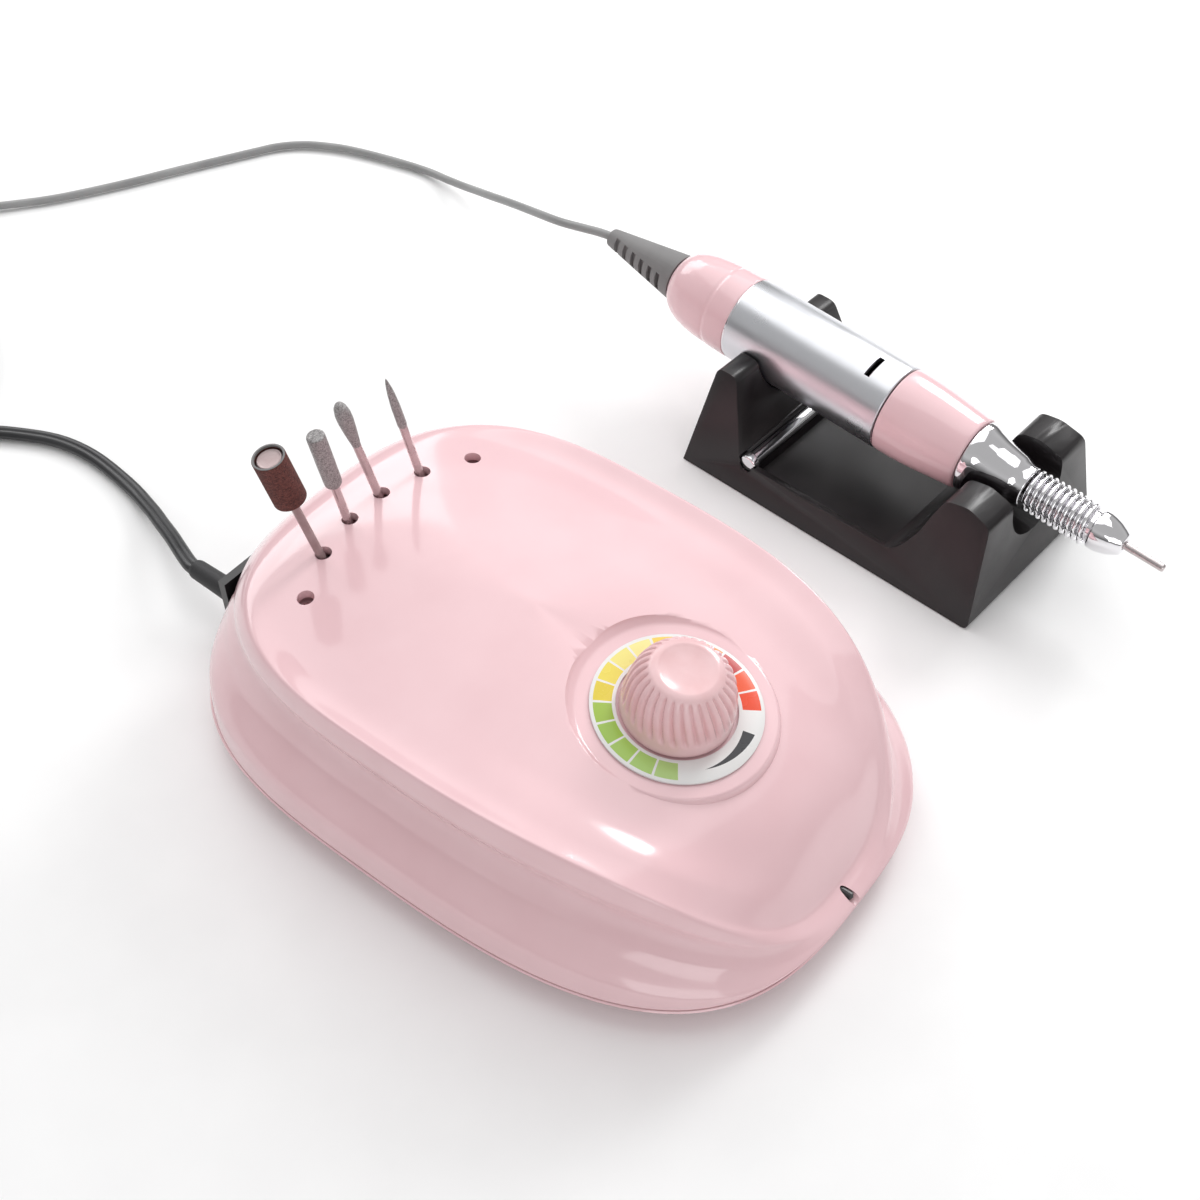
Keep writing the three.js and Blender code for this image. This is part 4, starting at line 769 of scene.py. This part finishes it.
knob_profile_3d = np.pad(KNOB_PROFILE, ((0, 0), (0, 1)))
knob_outline = evenly(through(knob_profile_3d), 0.28)[:, :2]
knob_points = lathe(knob_outline, 360)
knob_angle = np.arctan2(knob_points[..., 1], knob_points[..., 0])
knob_height = knob_points[..., 2]
slant = math.tan(math.radians(14)) / 12.5
wave = 0.5 + 0.5 * np.cos(30 * (knob_angle + slant * knob_height))
window = smooth_step(knob_height, 4, 6) * (1 - smooth_step(knob_height, 15.6, 17))
groove = 0.95 * wave**3 * window
knob_reach = np.maximum(np.hypot(*knob_points[..., :2].T).T, 1)
knob_points[..., :2] *= 1 - groove[..., None] / knob_reach[..., None]
knob_foot = np.repeat(np.array([[[0, 0, 0.5]]]), 360, axis=1)
knob_rows = np.concatenate([knob_foot, knob_points])
speed_knob = add_mesh("knob", placed(knob_rows, dial_frame), grid_faces(len(knob_rows), 360), 60)
settle(speed_knob, pink_knob, "dial", "pink_gloss", "speed_knob")

# %% [markdown]
# ## Printed dial ring
# A white ring round the knob carries fifteen printed blocks, from pale green through yellow to
# red, and a plain stretch. The ring has its own UV map: U goes round it and V goes across it, so
# the print is worked out in the material. The plain stretch has a wedge that grows with speed.

# %% Ring and its print
RING_START = math.radians(218)
RING_INNER, RING_OUTER = 15.3, 21.8
ring_steps = 240
ring_u = np.linspace(0, 1, ring_steps + 1)
ring_profile = np.array([
    (RING_INNER, 0.3), (RING_INNER, 0.85), (15.4, 0.9), (21.6, 0.9), (RING_OUTER, 0.8), (RING_OUTER, 0.3),
])
ring_angle = RING_START - 2 * np.pi * ring_u[:-1]
ring_points = np.stack([
    ring_profile[:, :1] * np.cos(ring_angle), ring_profile[:, :1] * np.sin(ring_angle),
    np.broadcast_to(ring_profile[:, 1:], (6, ring_steps)),
], axis=-1)
dial_ring = add_mesh("printed_ring", placed(ring_points, dial_frame),
                     grid_faces(6, ring_steps, close_rows=True), 30)
uv_layer = dial_ring.data.uv_layers.new(name="print")
ring_vertices = np.empty(len(dial_ring.data.vertices) * 3)
dial_ring.data.vertices.foreach_get("co", ring_vertices)
local = (ring_vertices.reshape(-1, 3) / MM - dial_frame[:3, 3]) @ dial_frame[:3, :3]
loop_vertex = np.empty(len(dial_ring.data.loops), np.int32)
dial_ring.data.loops.foreach_get("vertex_index", loop_vertex)
around = ((RING_START - np.arctan2(local[:, 1], local[:, 0])) / (2 * np.pi)) % 1
across_ring = (np.hypot(local[:, 0], local[:, 1]) - RING_INNER) / 6.5
loop_uv = np.stack([around, across_ring], axis=-1)[loop_vertex].reshape(-1, 4, 2)
seam = (loop_uv[:, :, 0].max(axis=1) - loop_uv[:, :, 0].min(axis=1)) > 0.5
loop_uv[seam, :, 0] = np.where(loop_uv[seam, :, 0] < 0.5, loop_uv[seam, :, 0] + 1, loop_uv[seam, :, 0])
uv_layer.data.foreach_set("uv", loop_uv.reshape(-1))

label_print = finish("printed dial ring", (0.8, 0.8, 0.79), (0.74, 0.74, 0.73), (0.25, 0.4), bump=0.2)
nodes, links = label_print.node_tree.nodes, label_print.node_tree.links
uv_node = nodes.new("ShaderNodeUVMap")
uv_node.uv_map = "print"
uv_split = nodes.new("ShaderNodeSeparateXYZ")
links.new(uv_node.outputs["UV"], uv_split.inputs["Vector"])


def from_sockets(operation, first, second):
    """A math node on two inputs, each a number or a socket."""
    node = math_node(nodes, operation)
    for index, value in enumerate((first, second)):
        if isinstance(value, (int, float)):
            node.inputs[index].default_value = value
        else:
            links.new(value, node.inputs[index])
    return node.outputs[0]


u_place = from_sockets("FRACT", uv_split.outputs["X"], 0)
v_place = uv_split.outputs["Y"]
block_place = from_sockets("FRACT", from_sockets("MULTIPLY", u_place, 20), 0)
from_middle = from_sockets("ABSOLUTE", from_sockets("SUBTRACT", block_place, 0.5), 0)
from_centre = from_sockets("ABSOLUTE", from_sockets("SUBTRACT", v_place, 0.5), 0)
in_block = from_sockets("MULTIPLY", from_sockets("LESS_THAN", from_middle, 0.45),
                        from_sockets("LESS_THAN", from_centre, 0.36))
in_block = from_sockets("MULTIPLY", in_block, from_sockets("LESS_THAN", u_place, 0.75))
wedge_width = from_sockets("MULTIPLY", from_sockets("SUBTRACT", 0.945, u_place), 1.7)
in_wedge = from_sockets("MULTIPLY", from_sockets("LESS_THAN", from_centre, wedge_width),
                        from_sockets("GREATER_THAN", u_place, 0.805))
PRINT_TONES = [
    (0.42, 0.6, 0.2), (0.38, 0.58, 0.15), (0.36, 0.56, 0.11), (0.33, 0.53, 0.08), (0.33, 0.5, 0.06),
    (0.72, 0.58, 0.05), (0.8, 0.67, 0.1), (0.83, 0.74, 0.22), (0.86, 0.78, 0.3), (0.85, 0.6, 0.1),
    (0.85, 0.42, 0.05), (0.83, 0.26, 0.04), (0.5, 0.05, 0.05), (0.8, 0.1, 0.03), (0.78, 0.06, 0.01),
]
ramp = nodes.new("ShaderNodeValToRGB")
ramp.color_ramp.interpolation = "CONSTANT"
for index, tone in enumerate(PRINT_TONES):
    stops = ramp.color_ramp.elements
    stop = stops[index] if index < 2 else stops.new(0.05 * index)
    stop.position = 0.05 * index
    stop.color = (*tone, 1)
links.new(u_place, ramp.inputs["Fac"])
paper_mix = nodes["Principled BSDF"].inputs["Base Color"].links[0].from_socket
blocks_on, wedge_on = nodes.new("ShaderNodeMix"), nodes.new("ShaderNodeMix")
for mix in (blocks_on, wedge_on):
    mix.data_type = "RGBA"
links.new(in_block, blocks_on.inputs["Factor"])
links.new(paper_mix, blocks_on.inputs["A"])
links.new(ramp.outputs["Color"], blocks_on.inputs["B"])
links.new(in_wedge, wedge_on.inputs["Factor"])
links.new(blocks_on.outputs["Result"], wedge_on.inputs["A"])
wedge_on.inputs["B"].default_value = (0.03, 0.03, 0.035, 1)
links.new(wedge_on.outputs["Result"], nodes["Principled BSDF"].inputs["Base Color"])
settle(dial_ring, label_print, "unit", "label_print", "label_ring")

# %% [markdown]
# ## Bits in the rack
# Every bit is turned: a thin steel shank and a head. The heads of three are coated with grey
# diamond grit, and the fourth is a drum that carries a red-brown sanding band. Each stands in its
# own leaning frame, which its lift joint gives, and shank and head are separate for their finishes.

# %% Bits


def joint_frame(name):
    joint = joints[name]
    return axes_frame(np.array(joint["pos_m"]) / MM, joint["axis"], (0, 1, 0))


def shank_profile(top):
    return [(0, 0), (0.9, 0), (1.175, 0.3), (1.175, top), (0, top)]


drum_frame, cylinder_frame = joint_frame("drum_lift"), joint_frame("cylinder_lift")
flame_frame, needle_frame = joint_frame("flame_lift"), joint_frame("needle_lift")

mandrel = turned_piece("mandrel", [
    (0, 0), (0.9, 0), (1.175, 0.3), (1.175, 30.2), (1.9, 30.7), (3.5, 31.2), (3.5, 46.2), (3.1, 46.6),
    (2.6, 46.45), (0, 46.35),
], drum_frame, 48, 0.25)
settle(mandrel, mandrel_rubber, "drum", "steel", "drum_mandrel")
band = turned_piece("sanding_sleeve", [(3.8, 31.2), (4.4, 31.3), (4.4, 47), (4.25, 47.2), (3.8, 47.2)],
                    drum_frame, 72, 0.15, ring=True)
settle(band, sanding_grit, "drum", "abrasive_band", "sanding_band")
band_lip = turned_piece("sanding_sleeve_lip", [
    (3.72, 46.6), (4.3, 47.19), (4.2, 47.26), (3.75, 47.26),
], drum_frame, 72, 0.05, ring=True)
settle(band_lip, grey_rubber, "drum", "abrasive_band")

HEADS = {
    "cylinder": (cylinder_frame, 22, [(0, 21.4), (1.1, 21.4), (2.1, 22.6), (2.4, 23.2), (2.48, 30),
                                      (2.5, 40.2), (2.35, 40.8), (1.9, 41), (0, 40.9)]),
    "flame": (flame_frame, 28.5, [(0, 28), (1.1, 28), (1.35, 30), (1.85, 34.5), (2.15, 38), (2.13, 40.5),
                                  (1.75, 42.7), (1, 44.1), (0, 44.6)]),
    "needle": (needle_frame, 27, [(0, 26.4), (1.15, 26.4), (1.3, 27.5), (1.28, 34), (1, 39), (0.72, 41.5),
                                  (0.35, 43.7), (0, 44.6)]),
}
for body_name, (bit_frame, shank_top, head_profile) in HEADS.items():
    shank_piece = turned_piece(f"{body_name}_shank", shank_profile(shank_top), bit_frame, 40, 0.15)
    settle(shank_piece, steel, body_name, "steel")
    head = turned_piece(f"{body_name}_head", head_profile, bit_frame, 48, 0.35)
    settle(head, diamond_grit, body_name, "coated_grit", f"{body_name}_bit")

# %% [markdown]
# ## Handpiece
# The pen-shaped grip is a row of turned parts on one axis: a soft grey relief with ladder slots
# round the cord, a glossy pink cap, a satin aluminium sleeve, a pink twist collar, a chrome cone,
# an open spring and a rounded chrome nose with the test pin.

# %% Turned parts of the handpiece
rear_cap = turned_piece("cap", [
    (3.85, 0), (7.4, 0), (8.3, 0.5), (9.6, 1.6), (10.9, 3.6), (12, 6.6), (12.7, 10), (13.15, 14),
    (13.3, 17.6), (13.12, 18.4), (13.45, 19.4), (13.5, 22), (13.5, 26.7), (13.2, 27), (11.75, 27), (11.75, 19),
    (10.35, 9), (7.75, 4), (3.85, 2),
], hand_frame, 128, 0.8, ring=True)
settle(rear_cap, pink_gloss, "handpiece", "pink_gloss", "rear_cap")
cap_band = turned_piece("cap_band", [(11.9, 26.9), (13.25, 26.9), (13.25, 27.5), (11.9, 27.5)],
                        hand_frame, 96, 0.1, ring=True)
settle(cap_band, chrome, "handpiece", "chrome")

sleeve = turned_piece("grip_sleeve", [
    (11.75, 27.3), (13.2, 27.3), (13.5, 27.6), (13.5, 84), (13.2, 84.3), (11.75, 84.3),
], hand_frame, 128, 0.12, ring=True)
slot_turn = math.radians(12)
slot_frame = hand_frame.copy()
slot_frame[:3, 0] = hand_frame[:3, 0] * math.cos(slot_turn) + hand_frame[:3, 1] * math.sin(slot_turn)
slot_frame[:3, 1] = hand_frame[:3, 1] * math.cos(slot_turn) - hand_frame[:3, 0] * math.sin(slot_turn)
combine(sleeve, "DIFFERENCE", block_mesh("sleeve slot", (-4, 5, 74.3), (4, 18, 76.3), slot_frame))
finish_mesh(sleeve.data, 30)
settle(sleeve, satin_aluminium, "handpiece", "satin_aluminium", "body_sleeve")

collar = turned_piece("collar", [
    (9.5, 84.6), (13, 84.6), (13.4, 84.9), (13.5, 85.6), (13.42, 90), (13.2, 94.5), (12.8, 99),
    (12.2, 104.5), (11.6, 110), (11.35, 111.2), (10.9, 111.6), (9.5, 111.6),
], hand_frame, 128, 0.7, ring=True)
settle(collar, pink_gloss, "chuck_collar", "pink_gloss", "twist_collar")

cone = turned_piece("nose_bell", [
    (4.2, 84.6), (9.15, 84.6), (9.15, 111.9), (11, 111.9), (11.02, 113.2), (10.75, 114.6), (9.9, 116.6),
    (8.9, 119.6), (8.1, 123.2), (7.5, 126.4), (6.7, 127.9), (6.4, 129), (6.4, 130.6), (6.1, 130.9),
    (4.2, 130.9),
], hand_frame, 96, 0.6, ring=True)
settle(cone, chrome, "handpiece", "chrome", "nose_cone")

nose = turned_piece("nose_end", [
    (2.75, 131.2), (4.8, 131.2), (4.8, 153), (5.6, 153), (6, 153.6), (6.02, 155.2), (5.7, 157),
    (5, 159.2), (4, 161.2), (3.3, 162.3), (2.7, 162.5), (1.6, 162.5), (1.6, 155), (2.75, 154),
], hand_frame, 80, 0.6, ring=True)
settle(nose, chrome, "handpiece", "chrome", "nose_tip")

pin = turned_piece("mandrel_pin", [(0, 142.2), (1.175, 142.2), (1.175, 174.5), (0.9, 175), (0, 175)],
                   hand_frame, 40, 0.2)
settle(pin, steel, "pin", "steel", "test_pin")

# %% [markdown]
# ## Spring
# The spring is a helix of round wire about the handpiece's axis, between the cone and the nose.

# %% Spring
SPRING_TURNS, SPRING_RADIUS, SPRING_FOOT, SPRING_LENGTH = 10, 5.95, 131.95, 20
spring_share = np.linspace(0, 1, SPRING_TURNS * 36 + 1)
spring_angle = 2 * np.pi * SPRING_TURNS * spring_share
spring_line = np.stack([
    SPRING_RADIUS * np.cos(spring_angle), SPRING_RADIUS * np.sin(spring_angle),
    SPRING_FOOT + SPRING_LENGTH * spring_share,
], axis=-1)
spring = swept_piece("spring_wire", placed(spring_line, hand_frame), circle(0.55 * MM, 14))
settle(spring, chrome, "handpiece", "chrome", "nose_spring")

# %% [markdown]
# ## Cord relief of the handpiece
# The relief is a soft taper with a barb inside the cap. Six pairs of slots are cut into its sides,
# and the core between them thickens with the taper.

# %% Cord relief of the handpiece
relief = turned_piece("grip_relief", [
    (0, -30), (2.6, -30), (3, -29.6), (3.2, -28.5), (7.8, -0.3), (3.5, -0.3), (3.5, 2.3), (5, 2.3),
    (5, 4), (0, 4),
], hand_frame, 72, 0.3)
slots = []
for row in range(6):
    low, core = -26 + 4 * row, 2 + 0.55 * row
    for side in (-1, 1):
        reach = sorted((side * core, side * 12))
        slots.append(block_mesh(f"slot {row} {side}", (reach[0], -3, low), (reach[1], 3, low + 1.8),
                                hand_frame))
combine(relief, "DIFFERENCE", *slots)
finish_mesh(relief.data, 30)
settle(relief, grey_rubber, "handpiece", "grey_rubber", "handpiece_relief")

# %% [markdown]
# ## Cradle
# The cradle is a black moulding with a tall block at each end and a well between them. Its side
# profile is pushed across its width, both flanks are planed to a lean, the well and the two round
# saddles are cut out, and every edge gets a small round from a Bevel.

# %% Cradle body
SIDE_PROFILE = np.array([
    (0, 0), (5, 35), (12, 35), (20, 10), (75, 10), (79, 13), (83, 20), (86, 29), (88, 34), (95, 35.5),
    (103, 33), (107, 0),
], float)
profile_line = rounded(np.vstack([SIDE_PROFILE, SIDE_PROFILE[:1]]), 2.2, 5)[:-1]
lean_share = profile_line[:, 1] / 35.5
half_width = 33 - 8.6 * lean_share
depth_line = 53.5 - profile_line[:, 0]
left = np.stack([-half_width, depth_line, profile_line[:, 1]], axis=-1)
right = left * (-1, 1, 1)
cradle = add_mesh("cradle", placed(np.vstack([left, right]), cradle_frame), prism_faces(len(left)), 20)


def channel(name, radius, low, high):
    """A round channel along the handpiece's axis that is open above: a half circle and two walls."""
    arc = np.linspace(np.pi, 2 * np.pi, 33)
    section = np.stack([radius * np.cos(arc), radius * np.sin(arc)], axis=-1)
    section = np.vstack([section, [(radius, 40), (-radius, 40)]])
    ends = [np.hstack([section, np.full((len(section), 1), value)]) for value in (low, high)]
    return add_mesh(name, placed(np.vstack(ends), hand_frame), prism_faces(len(section)))


well = block_mesh("well", (-28.5, -20.5, 4), (28.5, 29.5, 45), cradle_frame)
combine(cradle, "DIFFERENCE", well)
combine(cradle, "DIFFERENCE", channel("rear saddle", 14.1, 22, 72), channel("front saddle", 12.9, 90, 160))
bar_frame = axes_frame(at(-33.5, 31, 9.6, cradle_frame)[:3, 3], cradle_frame[:3, 0], (0, 0, 1))
groove_cut = turned_piece("bar groove", [
    (0, 0), (2.3, 0), (2.3, 3.2), (3.3, 3.2), (3.3, 7), (2.3, 7), (2.3, 67), (0, 67),
], bar_frame, 40, 0)
combine(cradle, "DIFFERENCE", groove_cut)
finish_mesh(cradle.data, 20)
edge_round = cradle.modifiers.new("edge round", "BEVEL")
edge_round.width = 0.0007
edge_round.segments = 3
edge_round.limit_method = "ANGLE"
edge_round.angle_limit = math.radians(32)
edge_round.use_clamp_overlap = True
bpy.context.view_layer.update()
cradle.data = bpy.data.meshes.new_from_object(cradle.evaluated_get(bpy.context.evaluated_depsgraph_get()))
cradle.modifiers.clear()
finish_mesh(cradle.data, 38)
settle(cradle, black_satin, "unit", "cradle_black", "cradle_body")

rod = turned_piece("rest_bar", [
    (0, 3.5), (2.6, 3.5), (3, 3.9), (3, 6.1), (2.6, 6.5), (2, 6.5), (2, 63), (1.6, 63.5), (0, 63.5),
], bar_frame, 48, 0.3)
settle(rod, chrome, "unit", "chrome", "cradle_bar")

# %% [markdown]
# ## Mains plug
# The plug is a soft-cornered moulding with a round neck and two flat blades. Its body is a stack of
# superellipse rings along its length, small at the neck and full at the middle, and each blade is a
# thin block with a rounded nose.

# %% Plug
PLUG_ROWS = np.array([
    (0, 0.1, 0.1, 2), (0, 3.4, 3.4, 2), (0.6, 3.9, 3.9, 2), (6.5, 4, 4, 2), (8, 5, 4.6, 2.4),
    (9.5, 8.4, 6.4, 3.2), (11.5, 10.2, 7.4, 4), (15, 10.8, 7.75, 4.5), (22, 11, 7.85, 5),
    (31, 11, 7.85, 5), (33, 10.6, 7.5, 4.5), (34, 9.6, 6.6, 4), (34, 0.1, 0.1, 3),
], float)
plug_at = placed([(-52.5, 0, 8.1)], unit_frame)[0] / MM
plug_at[1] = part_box("mains_plug")[0].y / MM
plug_frame = np.eye(4)
plug_frame[:3, 3] = plug_at
plug_rows = eased(PLUG_ROWS, np.linspace(0, len(PLUG_ROWS) - 1, 73))
plug_angle = np.linspace(0, 2 * np.pi, 64, endpoint=False)[None]
plug_power = plug_rows[:, 3:]
plug_reach = (np.abs(np.cos(plug_angle)) ** plug_power
              + np.abs(np.sin(plug_angle)) ** plug_power) ** (-1 / plug_power)
plug_points = np.stack([
    plug_rows[:, 1:2] * np.cos(plug_angle) * plug_reach,
    np.broadcast_to(plug_rows[:, :1], plug_reach.shape),
    plug_rows[:, 2:3] * np.sin(plug_angle) * plug_reach,
], axis=-1)
plug_points[0], plug_points[-1] = (0, 0, 0), (0, 34, 0)
plug = add_mesh("plug", placed(plug_points, plug_frame), grid_faces(len(plug_points), 64), 50)
settle(plug, black_plastic, "unit", "black_plastic", "mains_plug")
BLADE_ROWS = np.array([(33, 3.15, 0.75), (49.2, 3.15, 0.75), (50.4, 2.7, 0.6), (51, 1.9, 0.3)])
blades = []
for side in (-1, 1):
    corners = np.array([(-1, -1), (1, -1), (1, 1), (-1, 1)])
    blade_rings = np.stack([
        side * 6.35 + corners[None, :, 0] * BLADE_ROWS[:, 2:3],
        np.broadcast_to(BLADE_ROWS[:, :1], (4, 4)),
        corners[None, :, 1] * BLADE_ROWS[:, 1:2],
    ], axis=-1)
    blades.append(np.concatenate([blade_rings[:1].mean(axis=1, keepdims=True).repeat(4, 1), blade_rings,
                                  blade_rings[-1:].mean(axis=1, keepdims=True).repeat(4, 1)]))
blade_faces = np.concatenate([grid_faces(6, 4), grid_faces(6, 4) + 24])
plug_blades = add_mesh("plug_blades", placed(np.concatenate(blades), plug_frame), blade_faces, 30)
settle(plug_blades, steel, "unit", "steel")

# %% [markdown]
# ## Finish the cords
# The cords now take their sheath finishes. The mains cord rides on the unit with its relief. The
# handpiece's cord has one end on the handpiece; it takes its finish and stays where it lies, on no
# body.

mains_relief = turned_piece("mains_boot", [
    (0, -6), (2.8, -6), (2.8, 0.3), (3.8, 0.3), (3.8, 2.2), (3.4, 2.8), (2.95, 23), (2.6, 24), (0, 24),
], axes_frame(at(-24.5, 128.7, 12.8)[:3, 3], (0, 1, 0), (0, 0, 1)), 48, 0.4)
settle(mains_relief, black_rubber, "unit", "black_rubber", "mains_relief")
settle(mains_cord, black_cord, "unit", "black_rubber", "mains_cord", "mains_coil")
lead_cord.data.materials.append(grey_cord)
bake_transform(lead_cord)
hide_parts("handpiece_cord", "handpiece_coil")

# %% [markdown]
# ## Floor and light
# The set lies on a plain white floor in soft studio light. The surround is pale overhead and grey
# near the horizon, which gives the metals dark bands to mirror. A large panel hangs overhead, a
# small window-shaped one stands on the right, a weak one fills in from the front left, and one
# stands at the rear.

# %% Stage
bpy.context.scene.view_settings.view_transform = "Standard"
floor_points = np.array([(-4, -4, 0), (4, -4, 0), (4, 4, 0), (-4, 4, 0)]) - (0, 0, 0.00025)
floor = add_mesh("floor", floor_points, [(0, 1, 2, 3)])
floor_finish = finish("white floor", (0.94, 0.94, 0.94), (0.925, 0.925, 0.925), (0.6, 0.75), bump=0.1)
floor.data.materials.append(floor_finish)

world = bpy.data.worlds.new("studio")
bpy.context.scene.world = world
world.use_nodes = True
sky_nodes, sky_links = world.node_tree.nodes, world.node_tree.links
sky_place = sky_nodes.new("ShaderNodeTexCoord")
sky_split = sky_nodes.new("ShaderNodeSeparateXYZ")
sky_ramp = sky_nodes.new("ShaderNodeValToRGB")
SKY_STOPS = [(0.0, 0.9), (0.06, 0.1), (0.25, 0.3), (0.45, 0.55), (0.7, 0.5), (1.0, 0.5)]
for index, (height, grey) in enumerate(SKY_STOPS):
    stops = sky_ramp.color_ramp.elements
    stop = stops[index] if index < 2 else stops.new(height)
    stop.position = height
    stop.color = (grey, grey, grey, 1)
sky_links.new(sky_place.outputs["Generated"], sky_split.inputs["Vector"])
sky_links.new(sky_split.outputs["Z"], sky_ramp.inputs["Fac"])
sky_links.new(sky_ramp.outputs["Color"], sky_nodes["Background"].inputs["Color"])
sky_nodes["Background"].inputs["Strength"].default_value = 1.0


def soft_panel(name, place, target, size, power):
    """A rectangular area light at place, in metres, that faces target."""
    data = bpy.data.lights.new(name, "AREA")
    data.shape = "RECTANGLE"
    data.size, data.size_y = size
    data.energy = power
    light = bpy.data.objects.new(name, data)
    bpy.context.scene.collection.objects.link(light)
    facing = Vector(place) - Vector(target)
    light.matrix_world = Matrix.Translation(place) @ facing.to_track_quat("Z", "Y").to_matrix().to_4x4()


soft_panel("overhead panel", (0.45, 0.3, 1.25), (0, 0, 0), (1.6, 1.6), 8.5)
soft_panel("right panel", (0.62, 0.02, 0.42), (0, 0, 0.03), (0.2, 0.32), 2.2)
soft_panel("front fill panel", (-0.9, -1.0, 0.55), (0, 0, 0.03), (1.0, 0.6), 3.4)
soft_panel("rear panel light", (0.5, 1.3, 0.9), (0, 0, 0), (1.2, 0.6), 7)
print("lights placed")
